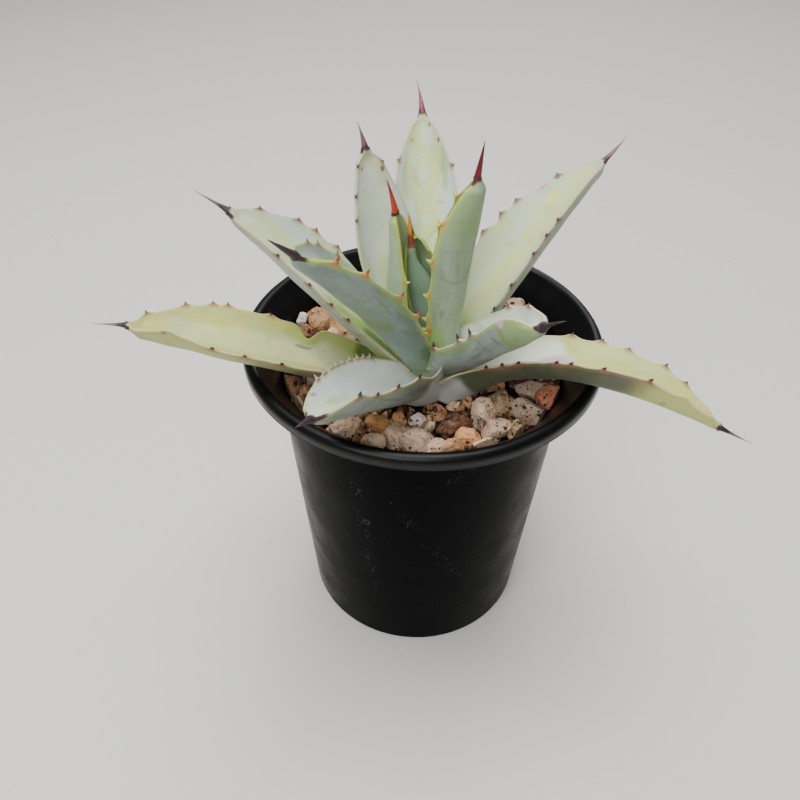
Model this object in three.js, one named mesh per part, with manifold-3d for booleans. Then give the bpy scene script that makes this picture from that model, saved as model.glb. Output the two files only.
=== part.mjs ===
// A young agave in a round, tapered nursery pot, topped with pumice gravel.
// Millimetres, +Z up. The origin is the middle of the pot's flat base.
import * as THREE from 'three';
import { mergeVertices } from 'three/addons/utils/BufferGeometryUtils.js';
import Module from 'manifold-3d';

const wasm = await Module();
wasm.setup();

// ---- driving dimensions ----
const GAP = 0.3; // clearance between pieces that touch
const MERGE = 1e-4; // corners closer than this are one
const DICE = { factor: 16807, modulus: 2147483647 }; // of the repeatable draws

const POT = {
  height: 120, // to the crest of the rim
  baseRadius: 42,
  shoulderRadius: 49.4, // outer wall where the rim starts to flare
  shoulderHeight: 107,
  lipRadius: 60, // outer edge of the turned-down lip
  lipDrop: 4.4, // how far the lip's edge hangs below the crest
  wall: 1.2,
  floor: 1.6,
  edgeRound: 1.4, // rounded corner at the base
  sides: 48,
};
const RIM = { // a flare that rises into a rounded bead
  flareStart: 5,
  flareEnd: 4,
  slope: 52, // of the flare where it meets the bead, in degrees
  bead: 1.6, // radius of the bead's middle line
  flareSteps: 3,
  beadSteps: 4,
};
const DRAIN = { holes: 8, ringRadius: 29, radius: 4, sides: 8 };

const MIX = { top: 101, bottom: POT.floor + GAP }; // packed growing mix
const GRAVEL = { bottom: MIX.top + GAP, bed: 104.6, middle: 107.8, limit: 114 }; // on the mix
const STONE = { // every stone
  sizeUp: 1.08,
  ripple: 0.1,
  waves: new THREE.Vector3(5, 7, 11), // of the ripple, along each axis
  height: 4,
  tilt: 0.3,
  lift: 0.8,
};
const FILL_STONE = {
  pitch: 9.4, // between neighbours of one row
  stray: 2.4, // how far one may lie off its place
  shortest: 8.5,
  longest: 12,
  breadth: 0.8, // of the length
  edge: 48,
  seed: 4177,
};

const PLANT = { x: 4, y: -8 }; // the rosette stands a little off the pot's axis
const STEM = {
  foot: 84, // the root crown, buried in the mix
  waist: 104,
  shoulder: 110,
  crown: 122,
  footRadius: 3.2,
  radius: 6.5,
  shoulderRadius: 5.8,
  topRadius: 2.4,
  sides: 20,
};

const BLADE = {
  margin: 1, // thickness along the edges
  tipBody: 1.3, // extra thickness of the middle at the tip
  tipWidth: 0.14, // of the full width
  taper: 2.2, // how late the pointed end narrows
  across: 4,
  along: 14,
  walk: 60, // steps along the leaf's own line
};
const TOOTH = {
  height: 2.3,
  halfBase: 1.3,
  halfDepth: 0.42,
  sunk: 0.8,
  lean: 0.25, // towards the leaf's tip
  inner: 0.8, // share of the half width from which it points outwards
  sides: 4,
};
const SPINE = { sides: 6, rings: 4, halfWidth: 1.6, halfDepth: 1.15, fullness: 0.25 };

const COLOUR = {
  pot: 0x141416,
  mix: 0x3d3026,
  gravel: 0xb9a488,
  stem: 0x9aa77f,
  old: 0xb9bf84, // lowest leaves, turned yellow-green
  grown: 0xb9c6ab, // pale leaves with a powdery bloom
  young: 0x8fa585, // heart of the rosette
  greySpine: 0x4a3a44,
  mauveSpine: 0x8a5560,
  redSpine: 0x7d1f26,
  flameSpine: 0xc2402a,
  amberSpine: 0xc9852f,
};
const ROUGHNESS = { pot: 0.35, mix: 0.95, gravel: 0.9, stem: 0.7, leaf: 0.6, spine: 0.45 };

// One entry a leaf, from the heart outwards. Angles in degrees: azimuth is 0 along +X and
// grows anticlockwise; rise is the slope at the root, the middle and the tip; turn swings
// the leaf sideways over its length; fold is how far the channel closes at root and tip;
// roll turns the blade about its own line. seat is the root's distance from the stem's
// axis and its height. teeth holds, for the left and the right margin, how many there are
// and between which fractions of the length they stand.
const LEAVES = [
  { name: 'spear', azimuth: 180, rise: [74, 77, 84], turn: 0, length: 36.5, width: 18,
    fold: [290, 290], roll: [90, 90], seat: [0.6, 121], body: 0.9, neck: 1, widest: 0.2,
    spine: 10.5, age: 'young', spineColour: 'amberSpine', teeth: [[0, 0, 0], [0, 0, 0]] },
  { name: 'heart_back', azimuth: 150, rise: [80, 78.5, 78], turn: 0, length: 39, width: 15,
    fold: [190, 160], roll: [-48, -48], seat: [1.5, 121], body: 1.5, neck: 0.8, widest: 0.5,
    spine: 7, age: 'young', spineColour: 'amberSpine', teeth: [[1, 0.7, 0.7], [2, 0.55, 0.86]] },
  { name: 'heart_left', azimuth: 184, rise: [42, 87, 77], turn: -12, length: 50, width: 17,
    fold: [165, 110], roll: [-7, -16], seat: [3.5, 120.5], body: 3.2, neck: 0.6, widest: 0.5,
    spine: 10, age: 'young', spineColour: 'flameSpine', teeth: [[3, 0.3, 0.92], [3, 0.3, 0.8]] },
  { name: 'heart_right', azimuth: 2, rise: [86, 81, 82], turn: -3, length: 62, width: 27.5,
    fold: [155, 155], roll: [13, -4], seat: [1.5, 117.5], body: 4, neck: 0.85, widest: 0.6,
    spine: 10.5, age: 'young', spineColour: 'redSpine', teeth: [[3, 0.4, 0.85], [4, 0.15, 0.75]] },
  { name: 'front_inner', azimuth: 221, rise: [56, 50, 44], turn: 18, length: 77.5, width: 27,
    fold: [135, 125], roll: [-2, -10], seat: [5.5, 118], body: 4.5, neck: 0.55, widest: 0.55,
    spine: 12, age: 'young', spineColour: 'greySpine', teeth: [[4, 0.2, 0.72], [5, 0.3, 0.9]] },
  { name: 'back', azimuth: 96, rise: [57, 43, 48], turn: 2, length: 79, width: 24,
    fold: [115, 85], roll: [-6, -9], seat: [5, 116.5], body: 4, neck: 0.6, widest: 0.5,
    spine: 10, age: 'grown', spineColour: 'mauveSpine', teeth: [[4, 0.35, 0.9], [4, 0.35, 0.9]] },
  { name: 'back_left', azimuth: 133, rise: [35, 69, 74], turn: -1, length: 69, width: 23.5,
    fold: [105, 75], roll: [-5, -5], seat: [6, 114.5], body: 4, neck: 0.6, widest: 0.5,
    spine: 8, age: 'grown', spineColour: 'mauveSpine', teeth: [[4, 0.4, 0.86], [4, 0.25, 0.84]] },
  { name: 'right_high', azimuth: 32, rise: [62, 46, 34], turn: 0, length: 78, width: 27.5,
    fold: [120, 100], roll: [10, -21], seat: [6.5, 115], body: 4, neck: 0.6, widest: 0.5,
    spine: 10.5, age: 'grown', spineColour: 'mauveSpine', teeth: [[5, 0.28, 0.84], [5, 0.3, 0.86]] },
  { name: 'left_high', azimuth: 175, rise: [40, 47, 36], turn: 8, length: 76, width: 26.5,
    fold: [110, 95], roll: [-9, -4], seat: [8, 113], body: 4, neck: 0.6, widest: 0.55,
    spine: 10.5, age: 'grown', spineColour: 'greySpine', teeth: [[4, 0.43, 0.88], [4, 0.35, 0.82]] },
  { name: 'front_right', azimuth: -44, rise: [30, 44, 45], turn: -13, length: 61, width: 26,
    fold: [205, 160], roll: [13, 2], seat: [-1.5, 113], body: 3.5, neck: 0.75, widest: 0.55,
    spine: 10, age: 'grown', spineColour: 'greySpine', teeth: [[4, 0.4, 0.9], [4, 0.25, 0.76]] },
  { name: 'front_left', azimuth: 240, rise: [27, 28, 21], turn: 3, length: 72, width: 27.5,
    fold: [150, 95], roll: [-11, 15], seat: [2.5, 107.5], body: 4.5, neck: 0.5, widest: 0.5,
    spine: 6.5, age: 'grown', spineColour: 'greySpine', teeth: [[4, 0.25, 0.66], [4, 0.3, 0.68]] },
  { name: 'left_low', azimuth: 198, rise: [17, 21, 8], turn: -12, length: 90, width: 26.5,
    fold: [100, 95], roll: [-9, 7], seat: [9, 110], body: 4, neck: 0.55, widest: 0.65,
    spine: 9, age: 'old', spineColour: 'greySpine', teeth: [[4, 0.42, 0.83], [6, 0.31, 0.93]] },
  { name: 'right_low', azimuth: -20, rise: [57, 3, -20], turn: 3, length: 92, width: 25.5,
    fold: [95, 105], roll: [-2, -23], seat: [7, 105], body: 4, neck: 0.85, widest: 0.55,
    spine: 11, age: 'old', spineColour: 'greySpine', teeth: [[5, 0.46, 0.89], [8, 0.15, 0.88]] },
];

// Larger stones laid by hand: x, y, length, breadth and the turn of the long side.
const PLACED_STONES = [
  [-0.5, -32, 5, 4, 0], [-0.5, -42.8, 10.5, 8.5, 30], [5, -44.6, 7, 5.5, 0],
  [10, -44.8, 6.5, 5, 20], [15, -39.5, 7, 6.5, 0], [20.5, -42.9, 8.5, 5, 10],
  [24.5, -35, 12, 6.5, 25], [30, -35, 8, 5, 80], [34.5, -26, 11, 7.5, -25],
  [42, -18.5, 9, 8.5, 60], [36, -15, 10, 6, 0], [26, -22, 9.5, 8.5, 80],
  [20, -26, 8.5, 7.5, 80], [11.5, -33, 11.5, 9, 30], [17.5, -33, 5, 4.5, 0],
  [-42, -19.5, 9, 6.5, 110], [-38.5, -28, 6.5, 5.5, 60], [-35.5, -16, 5.5, 5, 0],
  [-37, -22, 5, 5, 0], [-22, -37, 10, 6, 0], [-17.3, -41, 6, 5, 0], [-12, -34, 9, 7.5, 0],
  [-6.5, -31.5, 5, 4.5, 0], [-13.5, -43.6, 6.5, 6, 0], [-7.5, -39.5, 9.5, 8.5, 45],
  [-43.5, 17, 5, 4.5, 90], [-38, 18, 10, 8.5, 80], [-40.5, 10.5, 5.5, 5, 0],
  [-32.5, 10.5, 5.5, 5, 0], [-29.5, 15, 9, 7.5, 0], [34, 31, 8, 6, 0],
];

// ---- helpers ----
const radians = THREE.MathUtils.degToRad;

/** Turns a closed three.js geometry into a manifold solid. */
function solidOf(geometry) {
  const bare = geometry.clone();
  for (const name of Object.keys(bare.attributes)) {
    if (name !== 'position') bare.deleteAttribute(name);
  }
  const merged = mergeVertices(bare, MERGE);
  const corners = merged.index.array;
  const kept = [];
  for (let i = 0; i < corners.length; i += 3) {
    const [a, b, c] = [corners[i], corners[i + 1], corners[i + 2]];
    if (a !== b && b !== c && c !== a) kept.push(a, b, c);
  }
  return new wasm.Manifold(new wasm.Mesh({
    numProp: 3,
    vertProperties: Float32Array.from(merged.attributes.position.array),
    triVerts: Uint32Array.from(kept),
  }));
}

/** Turns a manifold solid back into a three.js geometry. */
function geometryOf(solid) {
  const mesh = solid.getMesh();
  const geometry = new THREE.BufferGeometry();
  geometry.setAttribute('position', new THREE.BufferAttribute(mesh.vertProperties, 3));
  geometry.setIndex(new THREE.BufferAttribute(mesh.triVerts, 1));
  return geometry;
}

/** Keeps the largest body of a solid, so that a loose scrap of a cut is dropped. */
function largestBody(solid) {
  return solid.decompose().reduce((best, body) => (body.volume() > best.volume() ? body : best));
}

/** Moves every vertex of a geometry by a rule. */
function reshape(geometry, rule) {
  const position = geometry.attributes.position;
  const point = new THREE.Vector3();
  for (let i = 0; i < position.count; i += 1) {
    const moved = rule(point.fromBufferAttribute(position, i));
    position.setXYZ(i, moved.x, moved.y, moved.z);
  }
  return geometry;
}

/** Spins a profile of [radius, height] pairs round the vertical axis at (x, y). */
function turned(profile, sides, x = 0, y = 0) {
  const geometry = new THREE.LatheGeometry(profile.map(([r, z]) => new THREE.Vector2(r, z)), sides);
  return solidOf(geometry.rotateX(Math.PI / 2).translate(x, y, 0));
}

/** A repeatable row of draws between 0 and 1. */
function dice(seed) {
  let state = seed;
  return () => {
    state = (state * DICE.factor) % DICE.modulus;
    return state / DICE.modulus;
  };
}

function named(name, solid, colour, roughness) {
  const material = new THREE.MeshStandardMaterial({ color: colour, roughness, metalness: 0 });
  const mesh = new THREE.Mesh(geometryOf(solid), material);
  mesh.name = name;
  return mesh;
}

// ---- pot ----
/** Middle line of the pot's wall, from the base's corner to the edge of the lip. */
function potMiddleLine() {
  const half = POT.wall / 2;
  const slope = THREE.MathUtils.degToRad(RIM.slope);
  const centre = new THREE.Vector2(POT.lipRadius - half - RIM.bead, POT.height - half - RIM.bead);
  const bead = new THREE.EllipseCurve(
    centre.x, centre.y, RIM.bead, RIM.bead, slope + Math.PI / 2, 0, true,
  ).getPoints(RIM.beadSteps);
  const along = new THREE.Vector2(Math.cos(slope), Math.sin(slope));
  const flare = new THREE.CubicBezierCurve(
    new THREE.Vector2(POT.shoulderRadius - half, POT.shoulderHeight),
    new THREE.Vector2(POT.shoulderRadius, POT.shoulderHeight + RIM.flareStart),
    bead[0].clone().addScaledVector(along, -RIM.flareEnd),
    bead[0],
  );
  const edge = new THREE.Vector2(POT.lipRadius - half, POT.height - POT.lipDrop);
  return [...flare.getPoints(RIM.flareSteps), ...bead.slice(1), edge];
}

/** Shifts a line sideways: a positive distance moves it to its left. */
function offsetLine(line, distance) {
  return line.map((point, i) => {
    const before = line[Math.max(i - 1, 0)];
    const after = line[Math.min(i + 1, line.length - 1)];
    const along = new THREE.Vector2().subVectors(after, before).normalize();
    return [point.x - along.y * distance, point.y + along.x * distance];
  });
}

function makePot() {
  const middle = potMiddleLine();
  const outer = offsetLine(middle, -POT.wall / 2);
  const inner = offsetLine(middle, POT.wall / 2).reverse();
  const profile = [
    [0, 0], [POT.baseRadius - POT.edgeRound, 0], [POT.baseRadius, POT.edgeRound],
    ...outer, ...inner, [POT.baseRadius - POT.wall, POT.floor], [0, POT.floor],
  ];
  let pot = turned(profile, POT.sides);
  for (let i = 0; i < DRAIN.holes; i += 1) {
    const turn = (i / DRAIN.holes) * 2 * Math.PI;
    const plug = new THREE.CylinderGeometry(DRAIN.radius, DRAIN.radius, 3 * POT.floor, DRAIN.sides);
    plug.rotateX(Math.PI / 2);
    plug.translate(DRAIN.ringRadius * Math.cos(turn), DRAIN.ringRadius * Math.sin(turn), 0);
    pot = pot.subtract(solidOf(plug));
  }
  return pot;
}

/** Radius that a filling may have at a height, clear of the wall. */
function fillRadius(height) {
  const slope = (POT.shoulderRadius - POT.baseRadius) / POT.shoulderHeight;
  return POT.baseRadius + slope * height - POT.wall - 2 * GAP;
}

// ---- stem ----
function makeStem(grow = 0) {
  const profile = [
    [0, STEM.foot - grow],
    [STEM.footRadius + grow, STEM.foot - grow],
    [STEM.radius + grow, STEM.waist],
    [STEM.shoulderRadius + grow, STEM.shoulder],
    [STEM.topRadius + grow, STEM.crown + grow],
    [0, STEM.crown + grow],
  ];
  return turned(profile, STEM.sides, PLANT.x, PLANT.y);
}

// ---- growing mix and gravel ----
function makeMix(stemRoom) {
  const profile = [
    [0, MIX.bottom], [fillRadius(MIX.bottom), MIX.bottom], [fillRadius(MIX.top), MIX.top], [0, MIX.top],
  ];
  return turned(profile, POT.sides).subtract(stemRoom);
}

/** One angular pebble, with a flat-sided look and its long side turned. */
function pebble(x, y, length, breadth, turn, roll) {
  const height = STONE.height + breadth / 2;
  const stone = reshape(new THREE.IcosahedronGeometry(), (point) => {
    const wave = Math.sin(point.dot(STONE.waves) + x + y);
    return point.multiplyScalar(STONE.sizeUp + STONE.ripple * wave);
  });
  stone.scale(length / 2, breadth / 2, height / 2);
  stone.rotateX(STONE.tilt * (roll() - 0.5));
  stone.rotateZ(radians(turn));
  return solidOf(stone.translate(x, y, GRAVEL.middle + STONE.lift * (roll() - 0.5)));
}

/** Places for the small stones that fill the surface between the larger ones. */
function fillPlaces(roll) {
  const places = [];
  const rowHeight = Math.sin(Math.PI / 3);
  const rows = Math.ceil((2 * FILL_STONE.edge) / FILL_STONE.pitch);
  for (let row = -rows; row <= rows; row += 1) {
    for (let column = -rows; column <= rows; column += 1) {
      const x = FILL_STONE.pitch * (column + (row & 1) / 2) + FILL_STONE.stray * (roll() - 0.5);
      const y = FILL_STONE.pitch * rowHeight * row + FILL_STONE.stray * (roll() - 0.5);
      const length = THREE.MathUtils.lerp(FILL_STONE.shortest, FILL_STONE.longest, roll());
      const turn = 180 * roll();
      const free = PLACED_STONES.every(([px, py, pl, pb]) =>
        Math.hypot(x - px, y - py) > (pl + pb + length) / 4);
      if (free && Math.hypot(x, y) + length / 2 < FILL_STONE.edge) {
        places.push([x, y, length, FILL_STONE.breadth * length, turn]);
      }
    }
  }
  return places;
}

function makeGravel(plantRoom) {
  const profile = [
    [0, GRAVEL.bottom], [fillRadius(GRAVEL.bottom), GRAVEL.bottom],
    [fillRadius(GRAVEL.bed), GRAVEL.bed], [0, GRAVEL.bed],
  ];
  const roll = dice(FILL_STONE.seed);
  const stones = [...PLACED_STONES, ...fillPlaces(roll)].map((place) => pebble(...place, roll));
  const wallLimit = turned(
    [[0, GRAVEL.bottom], [fillRadius(GRAVEL.bottom), GRAVEL.bottom],
      [fillRadius(GRAVEL.limit), GRAVEL.limit], [0, GRAVEL.limit]],
    POT.sides,
  );
  const heap = wasm.Manifold.union([turned(profile, POT.sides), ...stones]);
  return largestBody(heap.intersect(wallLimit).subtract(plantRoom));
}

// ---- leaves ----
/** The line, width and section of one leaf. */
class Leaf {
  constructor(spec) {
    this.spec = spec;
    this.line = this.walk();
  }

  slope(t) {
    const [root, middle, tip] = this.spec.rise;
    return radians(root * (1 - t) * (1 - 2 * t) + 4 * middle * t * (1 - t) + tip * t * (2 * t - 1));
  }

  heading(t) {
    return radians(this.spec.azimuth + this.spec.turn * t);
  }

  tangent(t) {
    const [slope, heading] = [this.slope(t), this.heading(t)];
    const flat = Math.cos(slope);
    return new THREE.Vector3(flat * Math.cos(heading), flat * Math.sin(heading), Math.sin(slope));
  }

  walk() {
    const [out, height] = this.spec.seat;
    const start = this.heading(0);
    const point = new THREE.Vector3(
      PLANT.x + out * Math.cos(start), PLANT.y + out * Math.sin(start), height);
    const line = [point.clone()];
    for (let i = 0; i < BLADE.walk; i += 1) {
      point.addScaledVector(this.tangent((i + 0.5) / BLADE.walk), this.spec.length / BLADE.walk);
      line.push(point.clone());
    }
    return line;
  }

  centre(t) {
    const place = t * BLADE.walk;
    const low = Math.min(Math.floor(place), BLADE.walk - 1);
    return this.line[low].clone().lerp(this.line[low + 1], place - low);
  }

  /** Side and upper directions at t, with the leaf's own roll. */
  axes(t) {
    const heading = this.heading(t);
    const level = new THREE.Vector3(-Math.sin(heading), Math.cos(heading), 0);
    const roll = radians(THREE.MathUtils.lerp(...this.spec.roll, t));
    const side = level.applyAxisAngle(this.tangent(t), roll);
    return { side, up: this.tangent(t).cross(side) };
  }

  /** Flat width of the blade: a neck, a wide middle and a long pointed end. */
  width(t) {
    const { neck, widest } = this.spec;
    const share = t < widest
      ? THREE.MathUtils.lerp(neck, 1, THREE.MathUtils.smoothstep(t, 0, widest))
      : 1 - (1 - BLADE.tipWidth) * ((t - widest) / (1 - widest)) ** BLADE.taper;
    return this.spec.width * share;
  }

  thickness(t, across) {
    const body = THREE.MathUtils.lerp(this.spec.body, BLADE.tipBody, t);
    return BLADE.margin + body * (1 - across * across);
  }

  /** A point on the upper face (depth 0) or through the blade to its underside (depth 1). */
  point(t, across, depth, grow = 0) {
    const { side, up } = this.axes(t);
    const fold = radians(THREE.MathUtils.lerp(...this.spec.fold, t));
    const width = this.width(t) + 2 * grow;
    const angle = (across * fold) / 2;
    const radius = width / fold;
    const outward = side.clone().multiplyScalar(Math.sin(angle)).addScaledVector(up, -Math.cos(angle));
    const sunk = THREE.MathUtils.lerp(-grow, this.thickness(t, across) + grow, depth);
    return this.centre(t)
      .addScaledVector(side, radius * Math.sin(angle))
      .addScaledVector(up, radius * (1 - Math.cos(angle)))
      .addScaledVector(outward, sunk);
  }

  /** The blade alone: a box of facets bent into the leaf's shape. */
  blade(grow) {
    const box = new THREE.BoxGeometry(2, 1, 1, BLADE.across, BLADE.along, 1);
    return solidOf(reshape(box, ({ x, y, z }) => {
      const end = Math.abs(y) === 0.5 ? grow * Math.sign(y) : 0;
      return this.point(y + 0.5, -x, 0.5 - z, grow).addScaledVector(this.tangent(y + 0.5), end);
    }));
  }

  /** One flattened tooth on a margin, its root sunk in the blade. */
  tooth(t, edge, grow) {
    const middle = this.point(t, edge, 0.5);
    const out = middle.clone().sub(this.point(t, edge * TOOTH.inner, 0.5)).normalize();
    const aim = out.addScaledVector(this.tangent(t), TOOTH.lean).normalize();
    const depth = this.point(t, edge, 1).sub(this.point(t, edge, 0)).normalize();
    const base = new THREE.Vector3().crossVectors(aim, depth).normalize();
    const length = TOOTH.height + TOOTH.sunk + grow;
    const cone = new THREE.ConeGeometry(1, length, TOOTH.sides);
    cone.translate(0, length / 2 - TOOTH.sunk, 0);
    cone.scale(TOOTH.halfBase + grow, 1, TOOTH.halfDepth + grow);
    cone.applyMatrix4(new THREE.Matrix4().makeBasis(base, aim, depth).setPosition(middle));
    return solidOf(cone);
  }

  teeth(grow) {
    return this.spec.teeth.flatMap(([count, from, to], margin) =>
      Array.from({ length: count }, (_, i) => {
        const t = THREE.MathUtils.lerp(from, to, count > 1 ? i / (count - 1) : 0);
        return this.tooth(t, margin === 0 ? 1 : -1, grow);
      }));
  }

  solid(grow = 0) {
    return wasm.Manifold.union([this.blade(grow), ...this.teeth(grow)]);
  }

  /** The hard terminal spine, which carries on from the blade's end. */
  spine(grow = 0) {
    const root = this.point(1, 0, 0.5);
    const along = this.tangent(1);
    const { side, up } = this.axes(1);
    const cone = new THREE.ConeGeometry(1, 1, SPINE.sides, SPINE.rings);
    return solidOf(reshape(cone, ({ x, y, z }) => {
      const t = y + 0.5;
      const full = t < 1 ? (1 - t) ** -SPINE.fullness : 0;
      return root.clone()
        .addScaledVector(along, GAP + t * (this.spec.spine - GAP) + grow * Math.sign(y))
        .addScaledVector(side, -x * full * (SPINE.halfWidth + grow))
        .addScaledVector(up, z * full * (SPINE.halfDepth + grow));
    }));
  }
}

// ---- assembly ----
const plant = new THREE.Group();
const stem = makeStem();
const stemRoom = makeStem(GAP);
plant.add(named('stem', stem, COLOUR.stem, ROUGHNESS.stem));

// Younger leaves keep their shape; each older one is cut clear of those inside it.
let taken = stemRoom;
for (const spec of LEAVES) {
  const leaf = new Leaf(spec);
  const blade = largestBody(leaf.solid().subtract(taken));
  plant.add(named(`leaf_${spec.name}`, blade, COLOUR[spec.age], ROUGHNESS.leaf));
  taken = taken.add(leaf.solid(GAP));
  const spine = largestBody(leaf.spine().subtract(taken));
  plant.add(named(`spine_${spec.name}`, spine, COLOUR[spec.spineColour], ROUGHNESS.spine));
  taken = taken.add(leaf.spine(GAP));
}

const group = new THREE.Group();
group.add(
  named('pot', makePot(), COLOUR.pot, ROUGHNESS.pot),
  named('growing_mix', makeMix(stemRoom), COLOUR.mix, ROUGHNESS.mix),
  named('gravel', makeGravel(taken), COLOUR.gravel, ROUGHNESS.gravel),
  plant,
);

export default group;
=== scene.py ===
"""A young agave in a round, tapered nursery pot, topped with pumice gravel.

Shapes are worked out in millimetres and degrees, +Z up, with the origin in the middle of the pot's flat
base. Each finished mesh is then scaled to metres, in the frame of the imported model.
"""

import logging
import math
from collections.abc import Iterator
from dataclasses import dataclass, field, replace
from enum import Enum

import bmesh
import bpy
from mathutils import Matrix, Vector, noise
from mathutils.bvhtree import BVHTree


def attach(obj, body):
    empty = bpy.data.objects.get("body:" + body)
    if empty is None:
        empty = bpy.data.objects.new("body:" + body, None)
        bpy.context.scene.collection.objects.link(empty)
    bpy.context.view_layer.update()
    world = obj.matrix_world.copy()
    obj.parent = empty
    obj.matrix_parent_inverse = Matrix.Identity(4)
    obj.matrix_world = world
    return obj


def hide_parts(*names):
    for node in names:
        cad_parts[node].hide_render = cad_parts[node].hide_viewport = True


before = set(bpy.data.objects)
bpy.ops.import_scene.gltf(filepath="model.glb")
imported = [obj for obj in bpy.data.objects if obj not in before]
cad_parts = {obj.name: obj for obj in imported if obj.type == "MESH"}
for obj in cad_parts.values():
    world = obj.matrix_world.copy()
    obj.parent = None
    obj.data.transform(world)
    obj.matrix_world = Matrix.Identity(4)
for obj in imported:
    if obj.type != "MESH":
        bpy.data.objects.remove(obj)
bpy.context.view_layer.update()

LOG = logging.getLogger("agave")
BODY = "root"
METRES = 0.001  # in a millimetre
GAP = 0.3  # clearance between pieces that touch
MERGED = 1e-4  # points nearer than this are one
UP = Vector((0.0, 0.0, 1.0))

Shape = bmesh.types.BMesh
Vert = bmesh.types.BMVert
Piece = bpy.types.Object
Material = bpy.types.Material
Node = bpy.types.Node
Socket = bpy.types.NodeSocket
Value = float | Socket
Colour = tuple[float, float, float, float]
Triple = tuple[float, float, float]
Profile = list[tuple[float, float]]  # radius and height of each point


# ---- small tools ----
def paint(code: str) -> Colour:
    """Turns a screen colour such as "#c8ccaa" into a linear one.

    Args:
        code: The colour as six hexadecimal digits after a hash.

    Returns:
        Linear red, green, blue and alpha.
    """
    def linear(share: float) -> float:
        """Undoes the screen's own curve."""
        return share / 12.92 if share <= 0.04045 else ((share + 0.055) / 1.055) ** 2.4

    red, green, blue = (int(code[at:at + 2], 16) / 255 for at in (1, 3, 5))
    return linear(red), linear(green), linear(blue), 1.0


def lerp(start: float, end: float, share: float) -> float:
    """Returns the value that lies a share of the way from start to end."""
    return start + (end - start) * share


def smoothstep(value: float, low: float, high: float) -> float:
    """Returns a soft step from 0 at low to 1 at high."""
    share = min(max((value - low) / (high - low), 0.0), 1.0)
    return share * share * (3 - 2 * share)


class Dice:
    """A repeatable row of draws between 0 and 1."""

    FACTOR = 16807
    MODULUS = 2147483647

    def __init__(self, seed: int) -> None:
        """Starts the row at a seed."""
        self.state = seed

    def __call__(self) -> float:
        """Returns the next draw."""
        self.state = self.state * self.FACTOR % self.MODULUS
        return self.state / self.MODULUS

    def between(self, low: float, high: float) -> float:
        """Returns the next draw, spread from low to high."""
        return lerp(low, high, self())

    def direction(self) -> Vector:
        """Returns a random direction, even over the sphere."""
        turn, height = self.between(0, 2 * math.pi), self.between(-1, 1)
        flat = math.sqrt(1 - height * height)
        return Vector((flat * math.cos(turn), flat * math.sin(turn), height))


class Slot(Enum):
    """The record's material slots that the new pieces belong to; their names are logged."""

    POT = "pot_plastic"
    GRAVEL = "gravel"
    STEM = "stem"
    LEAF_YOUNG = "leaf_young"
    LEAF_GROWN = "leaf_grown"
    LEAF_OLD = "leaf_old"
    SPINE_YOUNG = "spine_young"
    SPINE_OLD = "spine_old"


def make_piece(bm: Shape, name: str, materials: list[Material]) -> Piece:
    """Turns a finished shape in millimetres into an object in metres, at the origin.

    Args:
        bm: The shape, which is freed.
        name: The name of the object.
        materials: The finishes, in the order of the faces' material numbers.

    Returns:
        The new object, linked to the scene.
    """
    bmesh.ops.scale(bm, vec=Vector((METRES,) * 3), verts=bm.verts)
    for face in bm.faces:
        face.smooth = True
    mesh = bpy.data.meshes.new(name)
    bm.to_mesh(mesh)
    bm.free()
    for material in materials:
        mesh.materials.append(material)
    piece = bpy.data.objects.new(name, mesh)
    bpy.context.scene.collection.objects.link(piece)
    return piece


def hand_over(piece: Piece, slot: Slot, *nodes: str) -> Piece:
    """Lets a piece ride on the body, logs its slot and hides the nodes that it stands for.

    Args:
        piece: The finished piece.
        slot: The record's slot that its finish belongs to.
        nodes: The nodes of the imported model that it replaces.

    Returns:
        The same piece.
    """
    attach(piece, BODY)
    if nodes:
        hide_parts(*nodes)
    LOG.info("%s: %d faces, %s", piece.name, len(piece.data.polygons), slot.value)
    return piece


def spin_profile(profile: Profile, steps: int, x: float = 0, y: float = 0) -> Shape:
    """Spins a closed profile round an upright axis.

    Args:
        profile: Radius and height of each point, in order, round the section.
        steps: How many steps the full turn has.
        x: Where the axis stands.
        y: Where the axis stands.

    Returns:
        The closed solid, with its faces outwards.
    """
    bm = bmesh.new()
    corners = [bm.verts.new((x + radius, y, height)) for radius, height in profile]
    edges = [bm.edges.new(pair) for pair in zip(corners, corners[1:])]
    if profile[0][0] > 0:
        edges.append(bm.edges.new((corners[-1], corners[0])))
    bmesh.ops.spin(
        bm, geom=[*corners, *edges], cent=(x, y, 0), axis=UP, angle=2 * math.pi, steps=steps, use_merge=True,
    )
    bmesh.ops.remove_doubles(bm, verts=bm.verts, dist=MERGED)
    bmesh.ops.recalc_face_normals(bm, faces=bm.faces)
    return bm


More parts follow.
